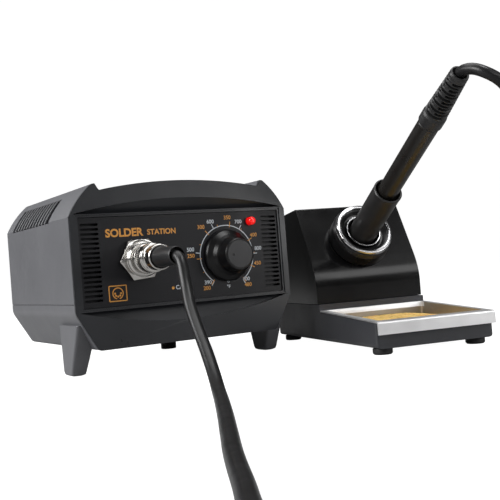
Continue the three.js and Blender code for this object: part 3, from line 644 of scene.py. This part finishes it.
def shoulder():
    """The bulging slope from the side's upper corner to the ear beside the crown."""
    return bowed(SHOULDER, BULGE, EAR, 8)


def crown_half():
    """Half of the case's outline above the split, up to the groove beside the crown."""
    return [
        (75, SPLIT_Z + 0.15, 0), (*SHOULDER, 1), *shoulder(), (*EAR, 0.9),
        (EAR[0] - 1.8, EAR[1] + 0.3, 0.7), (55.4, 111.4, 1),
    ]


def mirrored(points):
    return [(-p[0], *p[1:]) for p in reversed(points)]


def crown(half):
    """The whole outline over the top, from its right half."""
    return half + bowed(CROWN_END, (0, 121.2), (-CROWN_END[0], CROWN_END[1]), 28) + mirrored(half)


def skirt():
    half = [(62, 15.5, 4), (75, 38, 12), (75, SPLIT_Z - 0.15, 0)]
    return mirrored(half) + half


def skin(outline, rows, leave_out=lambda middle: False):
    """A sheet through an open outline in x and z, drawn in by an amount at each y."""
    bm = bmesh.new()
    grid = [[bm.verts.new((x, y, z)) for x, z in inset(outline, amount)] for y, amount in rows]
    for near, far in zip(grid, grid[1:]):
        for i in range(len(outline) - 1):
            corners = (near[i], near[i + 1], far[i + 1], far[i])
            if not leave_out(sum((v.co for v in corners), Vector()) / 4):
                bm.faces.new(corners)
    for v in [v for v in bm.verts if not v.link_faces]:
        bm.verts.remove(v)
    return bm


def with_vent_edges(outline):
    """Adds the outline points where the vents in the shoulders begin and end."""
    for side in (1, -1):
        for z in VENT_Z:
            for i, (a, b) in enumerate(zip(outline, outline[1:])):
                if side * a.x > 60 and (a.y - z) * (b.y - z) < 0:
                    outline.insert(i + 1, a.lerp(b, (z - a.y) / (b.y - a.y)))
                    break
    return outline


def in_vent(place):
    """Whether a face's middle lies in a vent's window."""
    return VENT_Z[0] < place.z < VENT_Z[1] and abs(place.x) > 60 and VENT_Y[0] < place.y < VENT_Y[1]


def thick(bm, thickness):
    """A sheet given a wall on its inner side."""
    outward(bm)
    middle_of_case = Vector((0, 72, 66))
    if sum(f.normal.dot(f.calc_center_median() - middle_of_case) * f.calc_area() for f in bm.faces) < 0:
        bmesh.ops.reverse_faces(bm, faces=bm.faces)
    bmesh.ops.solidify(bm, geom=bm.faces[:], thickness=thickness)
    return outward(bm)


def front_leg(side):
    """A tapering block whose front slopes back on its way down."""
    levels = {31.4: ((60, 73.4), (4.6, 39.4)), 2.6: ((63.8, 73.6), (19.4, 36.4)),
              0.7: ((64.2, 73.2), (20.4, 35.6)), 0: ((65.6, 71.6), (22.4, 33.6))}
    bm = bmesh.new()
    rings = [[bm.verts.new((side * x, y, z)) for x, y in filleted(rectangle(*spans), 2.2, 4)]
             for z, spans in levels.items()]
    for high, low in zip(rings, rings[1:]):
        for i in range(len(high)):
            bm.faces.new((high[i - 1], high[i], low[i], low[i - 1]))
    for ring in (rings[0], rings[-1]):
        bm.faces.new(ring)
    return outward(bm)


def vent_slats(side):
    """Louvres just under the shoulder, with a wide gap at the front, and a black sheet behind them that is
    painted shade for the inside of the case.
    """
    flip = Matrix.Diagonal((side, 1, 1, 1))
    slope = with_vent_edges([Vector(point[:2]) for point in (SHOULDER, *shoulder(), EAR)])
    slope = [point for point in slope if VENT_Z[0] - 0.01 < point.y < VENT_Z[1] + 0.01]

    def strip(depth, thickness):
        top = [point + INWARD * depth for point in slope]
        return top + [point + INWARD * thickness for point in reversed(top)]

    bars = [VENT_Y[0] + VENT_GAP + i * VENT_PITCH for i in range(VENT_SLATS)]
    louvres = joined(*(prism(strip(0.3, 0.7), y, y + 2.2) for y in bars))
    shade_sheet = prism(strip(1.1, 1), VENT_Y[0] + 0.2, VENT_Y[1] - 0.2)
    return moved(louvres, flip), moved(shade_sheet, flip)


def make_case():
    rows = [(y, 0) for y in (CASE_Y[0], 20, VENT_Y[0], 68, 97, VENT_Y[1])]
    rows += [(CASE_Y[1] - REAR_ROUND * (1 - sin(a)), REAR_ROUND * (1 - cos(a)))
             for a in (radians(15 * k) for k in range(6))]
    upper = skin(with_vent_edges(filleted(crown(crown_half()), 1, 6, False)), rows, in_vent)
    piece("housing_top", thick(upper, WALL), CASE,
          stands_for="upper_shell", bevel=0.45, segments=3)
    lower = thick(skin(filleted(skirt(), 1, 6, False), rows), WALL)
    piece("housing_bottom", joined(lower, front_leg(1), front_leg(-1)), CASE,
          stands_for="lower_shell", bevel=0.45, segments=3)
    for side, name in ((-1, "left"), (1, "right")):
        bars, shade_sheet = vent_slats(side)
        # The louvres' lighter grey is painted light on the slats.
        piece(f"louvres_{name}", bars, LIT_LOUVRES, stands_for=f"{name}_vent_grille")
        # The black sheet behind each vent is painted shade for the inside of the case.
        piece(f"vent_shade_sheet_{name}", shade_sheet, VENT_SHADE)
    keep(SCREW, 0.2, *(f"case_screw_{i}" for i in (1, 2, 3, 4)))
    for name in ("left", "right"):
        foot = turned([(0, 0), (5.4, 0, 0.4), (5.8, 0.6), (6.1, 9), (6.1, 10.5, 0.2), (6.4, 10.5),
                       (6.4, 15.2), (0, 15.2)])
        node = f"rear_foot_{name}"
        piece(f"rear_foot_pad_{name}", foot, RUBBER, under(node), node)


# ---- bezel and front panel

BEZEL_DEPTH = 1.7
RECESS_X, RECESS_Z = 69.8, (40.7, 95.3)
RIM = 1.3                           # the step round the panel's recess
PANEL_Y = (1.6, 3.1)
SCOOP_DEPTH = 4.4
SLOTS, SLOT_PITCH, SLOT_FIRST_Z = 17, 2.85, 45.2
SLOT_X, SLOT_HALF, SLOT_BACK = (57, 68.3), 0.75, 5.4


def face_outline():
    lower = [(-75, 38, 4), (-62, 15.5, 3), (62, 15.5, 3), (75, 38, 4)]
    return filleted(crown(crown_half()[1:]) + lower, 1, 6)


def inset(outline, amount):
    """The outline drawn in towards its middle."""
    cx, cz = 0, 66
    return [((x - cx) * (1 - amount / 75) + cx, (z - cz) * (1 - amount / 50) + cz) for x, z in outline]


def scoop(panel_edge, end_z, middle_z):
    """A lens-shaped hollow above or below the panel, deepest at the panel's edge."""
    up = copysign(1, middle_z - panel_edge)
    lens = [(-72, panel_edge), (72, panel_edge), (72, end_z)]
    lens += [p[:2] for p in bowed((72, end_z), (0, 2 * middle_z - end_z), (-72, end_z), 40)] + [(-72, end_z)]
    wedge = [(-1, panel_edge - up), (SCOOP_DEPTH, panel_edge - up), (SCOOP_DEPTH, panel_edge), (0, middle_z),
             (-1, middle_z + up)]
    return combined(prism(lens, -1, SCOOP_DEPTH + 1), prism(wedge, -74, 74, "X"), "INTERSECT")


def make_bezel():
    outline = face_outline()
    plate = combined(prism(outline, 0, BEZEL_DEPTH), prism(inset(outline, 3.4), 1, 7.5), "UNION")
    x, z = RECESS_X, RECESS_Z
    plate = cut(plate, block((-x - RIM, x + RIM), (-1, 0.7), (z[0] - RIM, z[1] + RIM)),
                block((-x, x), (-1, 3.4), z), block((-x + 1, x - 1), (0, 10), (z[0] + 1.3, z[1] - 1.3)),
                scoop(z[1] + RIM + 0.6, 97.6, 105.5), scoop(z[0] - RIM - 0.6, 38.6, 29))
    piece("front_frame", plate, BEZEL, stands_for="front_bezel", bevel=0.32, segments=3)


def hole(at, radius, y):
    """A round cutter along Y."""
    cutter = turned([(0, y[0]), (radius, y[0]), (radius, y[1]), (0, y[1])], 64, 0)
    return moved(cutter, shift(at[0], 0, at[1]) @ Matrix.Rotation(-pi / 2, 4, "X"))


def make_panel():
    x, z = RECESS_X - 0.3, (RECESS_Z[0] + 0.3, RECESS_Z[1] - 0.3)
    plate = block((-x, x), PANEL_Y, z)
    for side in (-1, 1):
        well = sorted((side * 56, side * 68.5)), (PANEL_Y[1] - 0.5, SLOT_BACK + 1), (z[0] + 2, z[1] - 2)
        plate = combined(plate, block(*well), "UNION")
    slots = []
    for i in range(SLOTS):
        level = SLOT_FIRST_Z + i * SLOT_PITCH
        for side in (-1, 1):
            outline = rectangle(sorted((side * SLOT_X[0], side * SLOT_X[1])),
                                (level - SLOT_HALF, level + SLOT_HALF))
            slots.append(prism(filleted(outline, 0.6, 4), PANEL_Y[0] - 1, SLOT_BACK))
    holes = {"socket_body": 8.3, "temperature_knob": 4, "power_lamp": 3, "calibration_trimmer": 1.7}
    places = [(STATION.inverted() @ middle(node), radius) for node, radius in holes.items()]
    plate = cut(plate, joined(*slots),
                *(hole((at.x, at.z), radius, (PANEL_Y[0] - 1, PANEL_Y[1] + 1)) for at, radius in places))
    piece("panel_plate", plate, PANEL, stands_for="front_panel", bevel=0.2)


# ---- printing on the panel

INK = 0.035                         # mm proud of the panel
ON_PANEL = shift(0, PANEL_Y[0], 0) @ Matrix.Rotation(pi / 2, 4, "X")
DIAL_ZERO, DIAL_SWEEP = -145, 290   # degrees clockwise from the top, and over the whole scale
DIAL_RADIUS = 19.5
CELSIUS = {200: (13.2, 46.8), 250: (3.4, 68), 300: (12, 86), 350: (31.6, 91.4), 400: (50.5, 79.2),
           450: (52, 60.4), 480: (43.6, 46.8)}
FAHRENHEIT = {390: (14.2, 50.4), 500: (3.4, 72), 600: (19, 89.2), 700: (39.6, 88.4), 800: (53.2, 70.2),
              900: (42.6, 50.6)}


def lettering(words, size, at, weight):
    """Words centred at x and z on the panel."""
    curve = bpy.data.curves.new("words", "FONT")
    curve.body, curve.size = words, size
    curve.extrude, curve.offset = INK, weight
    curve.align_x, curve.align_y = "CENTER", "CENTER"
    curve.resolution_u = 6
    obj = bpy.data.objects.new("words", curve)
    mesh = bpy.data.meshes.new_from_object(obj)
    bm = bmesh.new()
    bm.from_mesh(mesh)
    bpy.data.objects.remove(obj)
    bpy.data.curves.remove(curve)
    bpy.data.meshes.remove(mesh)
    return moved(bm, ON_PANEL @ shift(*at, 0))


def ink(outline, at=(0, 0), turn=0):
    """A printed patch of an outline, turned clockwise about its own origin."""
    return moved(prism(outline, -INK, INK, "Z"),
                 ON_PANEL @ shift(*at, 0) @ Matrix.Rotation(-radians(turn), 4, "Z"))


def arc(radius, width, start, end, at):
    """A printed arc between two angles, clockwise from the top."""
    steps = max(8, round(abs(end - start) / 3))
    turns = [radians(start + (end - start) * k / steps) for k in range(steps + 1)]
    edges = ((radius + width / 2, turns), (radius - width / 2, turns[::-1]))
    return ink([(r * sin(t), r * cos(t)) for r, row in edges for t in row], at)


def bar(x, y, at, turn=0):
    """A printed rectangle."""
    return ink(rectangle(x, y), at, turn)


def tick(angle, start, end, width, at):
    return bar((-width / 2, width / 2), (start, end), at, angle)


def dial_angle(celsius):
    return DIAL_ZERO + (celsius - 200) * DIAL_SWEEP / 280


def make_print():
    knob = STATION.inverted() @ middle("temperature_knob")
    centre = (knob.x, knob.z)
    white = [arc(DIAL_RADIUS, 0.55, DIAL_ZERO, DIAL_ZERO + DIAL_SWEEP, centre)]
    orange = []
    for value, at in CELSIUS.items():
        orange += [lettering(str(value), 3.5, at, 0.05),
                   tick(dial_angle(value), DIAL_RADIUS - 1, DIAL_RADIUS + 2.6, 0.5, centre)]
    for value, at in FAHRENHEIT.items():
        white += [lettering(str(value), 3.5, at, 0.05),
                  tick(dial_angle((value - 32) / 1.8), DIAL_RADIUS, DIAL_RADIUS + 3.2, 0.5, centre)]
    orange += [tick(dial_angle(celsius), DIAL_RADIUS, DIAL_RADIUS + 1.4, 0.35, centre)
               for celsius in range(225, 480, 50)]
    white += [lettering("°C", 3, (28.4, 50.2), 0.05), lettering("°F", 3, (29, 46.6), 0.05),
              lettering("CAL", 3.6, (-5.4, 49), 0.06)]
    orange += [arc(0.5, 0.9, 0, 350, (-10.6, 49)), lettering("SOLDER", 6.7, (-40.6, 84.9), 0.22),
               lettering("STATION", 4.7, (-15.6, 84.6), 0.12), *socket_sign((-47.4, 48.6))]
    piece("print_orange", joined(*orange), ORANGE)
    piece("print_white", joined(*white), WHITE)


def socket_sign(at):
    """A framed pictogram of a round five-pin socket."""
    half, line = (5.6, 4.6), 0.3
    edges = [bar((-half[0], half[0]), (s * half[1] - line, s * half[1] + line), at) for s in (-1, 1)]
    edges += [bar((s * half[0] - line, s * half[0] + line), (-half[1], half[1]), at) for s in (-1, 1)]
    pins = [arc(0.32, 0.6, 0, 350, (at[0] + 1.9 * sin(a), at[1] + 1.9 * cos(a)))
            for a in (radians(90 + 45 * k) for k in range(5))]
    return edges + [arc(3.3, 0.6, -165, 165, at)] + pins


# ---- socket and plug

def fluted(count, depth, low, high):
    """A radius with flutes between two heights."""
    def shape(r, height, angle):
        inside = low < height < high
        return r - depth * (0.5 + 0.5 * cos(count * angle)) * inside
    return shape


def make_nut(at):
    """A hexagonal nut whose corners are turned down at both faces."""
    across, bore, turn = 24, 8.3, radians(5)
    corner = across / sqrt(3)
    hexagon = [(corner * cos(turn + k * pi / 3), corner * sin(turn + k * pi / 3))
               for k in range(6)]
    limit = turned([(0, -1.3), (across / 2 - 0.1, -1.3), (corner + 0.2, -0.3), (corner + 0.2, 1.7),
                    (across / 2 - 0.2, 3), (0, 3)], 96, 0)
    nut = combined(prism(hexagon, -1.3, 3, "Z"), limit, "INTERSECT")
    nut = combined(nut, turned([(0, -3), (bore, -3), (bore, 5), (0, 5)], 64, 0))
    piece("socket_hex_nut", nut, CHROME, at, "socket_nut", bevel=0.18)


def make_connector():
    at = on_front("socket_body")
    keep(CHROME, 0, "socket_body")
    make_nut(at)
    lock = turned([(8.3, 3.1), (10.2, 3.1), (10.8, 3.6), (10.8, 4.6), (10.3, 5), (10.3, 5.6), (10.8, 6),
                   (10.8, 7.2), (9.9, 8.3), (8.3, 8.3)], 96, 0.45, 4)
    piece("socket_front_ring", lock, CHROME, at, "socket_lock_ring")
    ring = turned([(6.6, 8.6), (8.2, 8.6), (8.7, 9.2), (8.7, 11), (8, 11.5), (8, 12.1), (8.6, 12.6),
                   (8.6, 19.4), (8, 19.9), (8, 20.4), (8.7, 20.9), (8.7, 21.6), (8.2, 22.1), (7.1, 22.4),
                   (7.1, 23.8), (7.7, 24.4), (7.7, 30.4), (7.3, 31), (6.6, 31)],
                  180, 0.3, 3, 0.5, fluted(45, 0.35, 12.7, 19.3))
    ring_piece = piece("plug_lock_ring", ring, CHROME, at, "plug_coupling_ring",
                       "plug_coupling_ring")
    barrel = turned([(0, 8.6), (6.2, 8.6), (6.2, 31), (5.2, 50.6), (5.05, 52.1), (4.75, 52.5),
                     (4.45, 52.1), (4.4, 50), (4.4, 42), (0, 42)], 96, 0.5, 4)
    barrel_piece = piece("plug_body", barrel, BARREL, at, "plug_barrel")
    boot = turned([(0, 42.3), (4.1, 42.3), (4.1, 48.2), (3.6, 49.3), (3.3, 49.3), (0, 49.3)], 64, 0.4, 4)
    boot_piece = piece("plug_cord_boot", boot, RUBBER, at, "plug_boot")
    return [ring_piece, barrel_piece, boot_piece]


# ---- knob, lamp and trimmer

KNOB_POINTER = radians(-93)         # clockwise from the top


def make_knob():
    at = on_front("temperature_knob")
    body = turned([(0, 2.6), (7.5, 2.6), (7.5, -1.2), (16.6, -1.2), (16.8, -0.2), (16.6, 0.9), (15.9, 1.9),
                   (13.2, 4.2), (11.6, 6.4), (10.9, 8.4), (10.2, 15.2), (9.6, 15.9), (9.1, 15.9), (9.1, 15.6),
                   (0, 15.6)], 128, 0.8, 4)
    piece("knob_body", body, KNOB, at, "temperature_knob", "temperature_knob")
    cap = turned([(0, 15.2), (9, 15.2), (9, 15.8), (8.6, 16), (0, 16)], 96, 0.3, 3)
    spot = shift(5 * sin(KNOB_POINTER), 5 * cos(KNOB_POINTER), 0)
    dimple = moved(turned([(0, 15.3), (0.8, 15.3), (1.1, 17), (0, 17)], 24, 0), spot)
    piece("knob_cap", combined(cap, dimple), CAP, at, body="temperature_knob")
    keep(ALUMINIUM, 0, "potentiometer_shaft")
    keep(BLACK, 0, "potentiometer_body")


def make_lamp():
    at = on_front("power_lamp")
    dome = [(0, -8), (2.7, -8), (2.7, 0.9)] + [
        (2.7 * cos(radians(a)), 0.9 + 2.7 * sin(radians(a)), 0) for a in range(10, 90, 8)]
    piece("lamp_lens", turned(dome + [(0, 3.6)], 64, 0.1), LAMP, at, "power_lamp")
    keep(BLACK, 0, "lamp_holder", "calibration_trimmer", "trimmer_housing")


# ---- rear and inside

def make_rear():
    keep(BEZEL, 0.2, "rear_panel")
    keep(BLACK, 0.2, "mains_inlet", "power_switch_housing", "fuse_holder", "fuse_cap")
    keep(BLACK, 0.3, "power_switch_rocker")
    keep(SCREW, 0.2, "inlet_screw_1", "inlet_screw_2")
    keep(BLACK, 0, "filter_capacitor")
    keep(ALUMINIUM, 0, "heat_sink")
    keep(board(), 0, "circuit_board")
    keep(laminated(), 0, "transformer_core")
    keep(wound(), 0, "transformer_winding")


# ---- stand

BASE_HALF, BASE_LENGTH = 39.9, 167
BASE_Z = (4, 28.7)
BASE_STEP_Y = 83                  # the low front part ends and the part under the hood begins
RIM_Z = (20.5, 24.8)                # the tray's rim above the front and the back of the pocket
RIM_SHEET = 0.9
LIP_Y, LIP_LOW = (-3.2, -2.2), 12.6
POCKET_HALF, POCKET_Y = 37.4, (2.4, 82)
SHEET = 1.5
HOOD_TOP = 96.3


def rim_z(y):
    return RIM_Z[0] + (RIM_Z[1] - RIM_Z[0]) * y / POCKET_Y[1]


def under_rim(y, drop, half=60):
    """A prism across the stand, up to a distance below the tray's rim."""
    outline = [(y[0], -5), (y[1], -5), (y[1], rim_z(y[1]) - drop), (y[0], rim_z(y[0]) - drop)]
    return prism(outline, -half, half, "X")


def make_stand_base():
    base = rounded_plate(BASE_HALF, 0, BASE_LENGTH, BASE_Z, 2.5)
    half = [(BASE_HALF, BASE_Z[0], 4), (BASE_HALF + 1, 40, 0)]
    sides = mirrored(half) + half
    base = combined(base, prism(filleted(sides, 0, 8), -5, BASE_LENGTH + 5), "INTERSECT")
    base = combined(base, block((-28, 28), (162.6, 165.1), (20, 42)), "UNION")
    top = rim_z(-1) - RIM_SHEET - 0.3, rim_z(BASE_STEP_Y) - RIM_SHEET - 0.3
    step = filleted([(-1, top[0], 0), (BASE_STEP_Y, top[1], 1.2), (BASE_STEP_Y, 40, 0), (-1, 40, 0)])
    base = cut(base, prism(step, -50, 50, "X"), block((-POCKET_HALF, POCKET_HALF), POCKET_Y, (8, 40)),
               block((-37.1, 37.1), (88, 162.6), (8, 40)))
    piece("stand_tub", base, STAND_PLASTIC, STAND, "stand_base", bevel=0.5, segments=3)
    for i in (1, 2, 3, 4):
        foot = turned([(0, 0), (5.2, 0, 0.5), (6, 0.9), (6, 3.7), (0, 3.7)], 64, 0.3)
        piece(f"stand_pad_{i}", foot, RUBBER, under(f"stand_foot_{i}"), f"stand_foot_{i}")


def make_tray():
    """A pan with a flange all round that folds down at the front."""
    half, y0, y1 = POCKET_HALF - 0.4, POCKET_Y[0] + 0.4, POCKET_Y[1] - 0.4
    ends = LIP_Y[0], BASE_STEP_Y - 0.3
    pan = combined(rounded_plate(half, y0, y1, (8.3, 40), 3), under_rim((-10, 100), 0.4), "INTERSECT")
    flange = rounded_plate(BASE_HALF, *ends, (0, 40), 1.2)
    flange = combined(flange, under_rim((-11, 101), RIM_SHEET, 65))
    pan = combined(pan, flange, "UNION")
    lip = block((-BASE_HALF, BASE_HALF), LIP_Y, (LIP_LOW, rim_z(LIP_Y[0]) - 0.3))
    pan = combined(pan, lip, "UNION")
    fold = [(ends[0], -5, 0), (ends[0], rim_z(ends[0]), 1.3),
            (ends[1], rim_z(ends[1]), 0.6), (ends[1], -5, 0)]
    pan = combined(pan, prism(filleted(fold), -60, 60, "X"), "INTERSECT")
    pan = combined(pan, rounded_plate(half - 1, y0 + 1, y1 - 2.2, (9.3, 40), 2.4))
    back = rim_z(y1)
    leaning = [(y1 - 6, back - 3.4, 0), (y1 - 2.2, back - 3.4, 0), (y1 - 1.6, back - 0.3, 0.8),
               (y1, back + 3, 0), (y1 - 6, back + 3, 0)]
    pan = combined(pan, prism(filleted(leaning, 0, 4), -half + 1, half - 1, "X"))
    pan.faces.ensure_lookup_table()
    # Painted shade: the pan's inside faces below the rim get the darker steel.
    pan_shade_faces = []
    for i, face in enumerate(pan.faces):
        at = face.calc_center_median()
        if abs(at.x) < half - 0.6 and y0 + 0.6 < at.y < y1 - 1 and 9.2 < at.z < rim_z(0) - 0.8:
            pan_shade_faces.append(i)
    made = piece("sponge_pan", pan, STEEL, STAND, "sponge_tray", "sponge_tray", 0.3, 3)
    made.data.materials.append(PAN_SHADE_STEEL)
    for i in pan_shade_faces:
        made.data.polygons[i].material_index = 1


def make_sponge():
    """A damp pad that swells towards its middle, with soft edges and an uneven surface."""
    half, y0, y1, low, side = 34.4, 5.2, 78.4, 9.8, 13.2
    bm = bmesh.new()
    bmesh.ops.create_cube(bm, size=2)
    bmesh.ops.subdivide_edges(bm, edges=bm.edges[:], cuts=44, use_grid_fill=True)
    for v in bm.verts:
        u, w, h = v.co
        pinch = (1 - 0.03 * h * h) * (1 - 0.05 * (abs(u) * abs(w)) ** 6)
        x, y = u * half * pinch, (y0 + y1) / 2 + w * (y1 - y0) / 2 * pinch
        swell = 6 * (1 - abs(u) ** 3.4) ** 0.7 * (1 - 0.6 * abs(w) ** 8)
        z = low + (side - low) * (h + 1) / 2 + swell * max(0, h)
        rough = 0.35 * noise.noise(Vector((x, y, z)) * 0.45) + 0.22 * noise.noise(Vector((x, y, z)) * 1.3)
        v.co = Vector((x, y, z + rough * max(0, h)))
    pad = piece("sponge_pad", outward(bm), SPONGE, STAND, "cleaning_sponge", "cleaning_sponge",
                sharp=180)


def hood_outline(amount):
    """The hood's side view: an upright lip, a slope, a falling top and the back."""
    front, back = 85.5 + amount, BASE_LENGTH - amount
    bottom = BASE_Z[1] - 1 if amount else BASE_Z[1] + 0.3
    rise = tan(HOLDER_TILT)
    slope = lambda z: HOLDER_AT[1] + (z - HOLDER_AT[2]) / rise + amount / sin(HOLDER_TILT)
    top = HOOD_TOP - amount
    knee = HOLDER_AT[2] + (front - slope(HOLDER_AT[2])) * rise
    outline = [(front, bottom, 0), (front, 40, 0)]
    outline += bowed((front, 40), (front, knee), (slope(60), 60), 24)
    outline += [(slope(60), 60, 0), (slope(top), top, 1.6), (back - 8, top - 4.3, 3),
                (back - 2.2, top - 7.5, 3), (back, top - 12, 3), (back, bottom, 0)]
    return filleted(outline, 0, 6)


def make_hood():
    shell = prism(hood_outline(0), -BASE_HALF, BASE_HALF, "X")
    bore = turned([(0, -12), (12.4, -12), (12.4, 12), (0, 12)], 96, 0)
    shell = cut(shell, prism(hood_outline(SHEET), -BASE_HALF + SHEET, BASE_HALF - SHEET, "X"),
                moved(bore, STAND.inverted() @ HOLDER))
    piece("hood_shell", shell, ENAMEL, STAND, "stand_hood", bevel=0.55, segments=3)
    keep(SCREW, 0.2, "hood_screw_1", "hood_screw_2")


def make_holder():
    ring = turned([(12.2, 0.3), (21.4, 0.3), (21.6, 1.2), (21.6, 9.4), (20.6, 12.2), (18.8, 13), (17, 13),
                   (16.2, 12.2), (14.6, 10.4), (12.2, 9.6)], 128, 1.4, 5)
    piece("holder_collar", ring, BLACK, HOLDER, "holder_ring")
    trim = turned([(17.2, 13), (20.1, 13), (20.3, 13.8), (19.7, 14.8), (18.4, 15), (17.4, 14.6)], 128, 0.6, 4)
    piece("holder_bright_ring", trim, BRIGHT, HOLDER, "holder_trim_ring")
    funnel = turned([(8, -48), (9, -48), (11.8, -28), (11.9, 11), (12.5, 12.2), (12.2, 12.6), (11.5, 12.4),
                     (10.9, 11.2), (10.9, -28)], 96, 0.5, 4)
    piece("holder_tube", funnel, BRIGHT, HOLDER, "holder_funnel")


# ---- iron

RELIEF_ROWS = 12
RELIEF_FROM, RELIEF_TO = 137.6, 165.6
SLOT_SPAN = radians(128)
SLOT_FACES = radians(205)           # where the first row's slot is centred, about the iron's line


def relief_shape(r, height, angle):
    """Slots in pairs round the strain relief, every other row turned a quarter."""
    pitch = (RELIEF_TO - RELIEF_FROM) / RELIEF_ROWS
    row = (height - RELIEF_FROM) / pitch
    if r < 4.8 or not 0 <= row < RELIEF_ROWS:
        return r
    across = abs(row % 1 - 0.5) * 2
    facing = SLOT_FACES + (int(row) % 2) * pi / 2
    off = abs((angle - facing + pi / 2) % pi - pi / 2)
    cut_along = 1 - min(1, max(0, (across - 0.42) / 0.2))
    cut_round = 1 - min(1, max(0, (off - SLOT_SPAN / 2) / 0.12))
    ridge = 0.22 * max(0, across - 0.5)
    return r + ridge - 2.3 * cut_along * cut_round


def make_iron():
    tube_piece = turned([(5, -2), (6.4, -2), (6.75, -1), (6.75, 64), (6.75, 126.6), (6.5, 127.5), (5, 127.5)],
                        96, 0.35, 3)
    sleeve = turned([(7.05, 4), (8.6, 4), (9.5, 7), (9.6, 12), (9.6, 57.6), (9.75, 58.2), (9.75, 59.4),
                     (9.2, 60), (8.5, 60), (8.2, 59.2), (8.2, 53), (7.05, 52)], 96, 0.4, 4)
    relief = turned([(0, 119), (4.7, 119), (4.7, 127.8), (7.2, 127.8), (7.5, 128.4), (7.5, 135.2), (7, 136.8),
                     (5.6, 166.2), (5.65, 167.8), (5.4, 169.1), (5, 169.5), (4.5, 169.5), (4, 168.6),
                     (3.9, 166.3), (0, 166.3)], 144, 0.3, 3, 0.32, relief_shape)
    nut = turned([(3.7, -15), (5.2, -15), (6.6, -12.5), (6.6, -2.4), (3.7, -2.4)], 180, 0.3, 3, 0.5,
                 fluted(36, 0.3, -11.5, -3.5))
    barrel = turned([(2.6, -34), (3.2, -34), (3.3, -33), (3.3, -3), (2.6, -3)], 64, 0.15)
    tip = turned([(0, -68), (0.5, -67.6), (3.2, -55), (3.2, -34.3), (2.4, -34.3), (2.4, -46), (0, -46)],
                 64, 0.4)
    for name, bm, material, slot, node, body in (
            ("iron_tube", tube_piece, HANDLE, "handle_plastic", "iron_handle", "iron"),
            ("iron_grip", sleeve, SLEEVE, "grip_rubber", "iron_grip_sleeve", "iron"),
            ("iron_cord_relief", relief, RELIEF, "rubber", "iron_strain_relief", "iron"),
            ("iron_collet_nut", nut, CHROME, "nickel_plate", "iron_nut", "iron_nut"),
            ("iron_barrel_tube", barrel, TUBE_STEEL, "plated_steel", "iron_barrel", "iron"),
            ("iron_point", tip, TIP, "plated_steel", "iron_tip", "iron")):
        piece(name, bm, material, HOLDER, node, body)
    keep(CERAMIC, 0, "heating_element")


# ---- studio

def make_stage():
    """One pale sheet: a floor that turns up into a backdrop behind the object."""
    reach, width, rise, bend = 3.2, 9, 4.5, 1.6
    outline = [(-7, 0), (reach, 0)]
    outline += [(reach + bend * sin(radians(a)), bend * (1 - cos(radians(a))))
                for a in range(6, 96, 6)]
    outline.append((reach + bend, rise))
    bm = bmesh.new()
    sides = [[bm.verts.new((x, y, z)) for y, z in outline] for x in (-width, width)]
    for i in range(len(outline) - 1):
        bm.faces.new((sides[0][i], sides[1][i], sides[1][i + 1], sides[0][i + 1]))
    bm.transform(Matrix.Rotation(-atan2(LOOKS_ALONG[0], LOOKS_ALONG[1]), 4, "Z"))
    mesh = as_mesh(bm, "floor")
    smooth(mesh)
    mesh.materials.append(pale_floor())
    floor = linked("floor", mesh)


def softbox(name, at, size, power, towards=(0, -0.02, 0.06)):
    data = bpy.data.lights.new(name, "AREA")
    data.shape, data.size, data.size_y, data.energy = "RECTANGLE", size[0], size[1], power
    light = linked(name, data)
    light.location = at
    light.rotation_mode = "QUATERNION"
    light.rotation_quaternion = (Vector(towards) - Vector(at)).to_track_quat("-Z", "Y")


def make_light():
    world = scene.world = bpy.data.worlds.new("studio")
    world.use_nodes = True
    background = world.node_tree.nodes["Background"].inputs
    background["Color"].default_value, background["Strength"].default_value = (1, 1, 1, 1), 0.05
    softbox("key_left", (-1.25, 0.1, 0.66), (0.9, 0.7), 22)
    softbox("back_left", (-1, 0.85, 0.7), (0.9, 0.5), 8)
    softbox("front_above", (0.34, -1.06, 0.58), (1.5, 0.3), 4.4)
    softbox("front_high", (0.3, -0.95, 1), (1.3, 0.4), 1)
    softbox("front_right", (0.78, -1, 0.22), (0.4, 0.25), 2.5)
    softbox("over_stand", (0.14, -0.3, 1.05), (0.5, 0.35), 4, (0.07, -0.22, 0.02))
    softbox("back_above", (0, 0.5, 1.5), (1.6, 0.9), 10)
    scene.view_settings.view_transform = "Standard"


# ---- everything

make_case()
make_bezel()
make_panel()
make_print()
plug_pieces = make_connector()
make_knob()
make_lamp()
make_rear()
make_stand_base()
make_tray()
make_sponge()
make_hood()
make_holder()
make_iron()
make_stage()
make_light()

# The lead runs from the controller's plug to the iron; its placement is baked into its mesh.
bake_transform(lead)
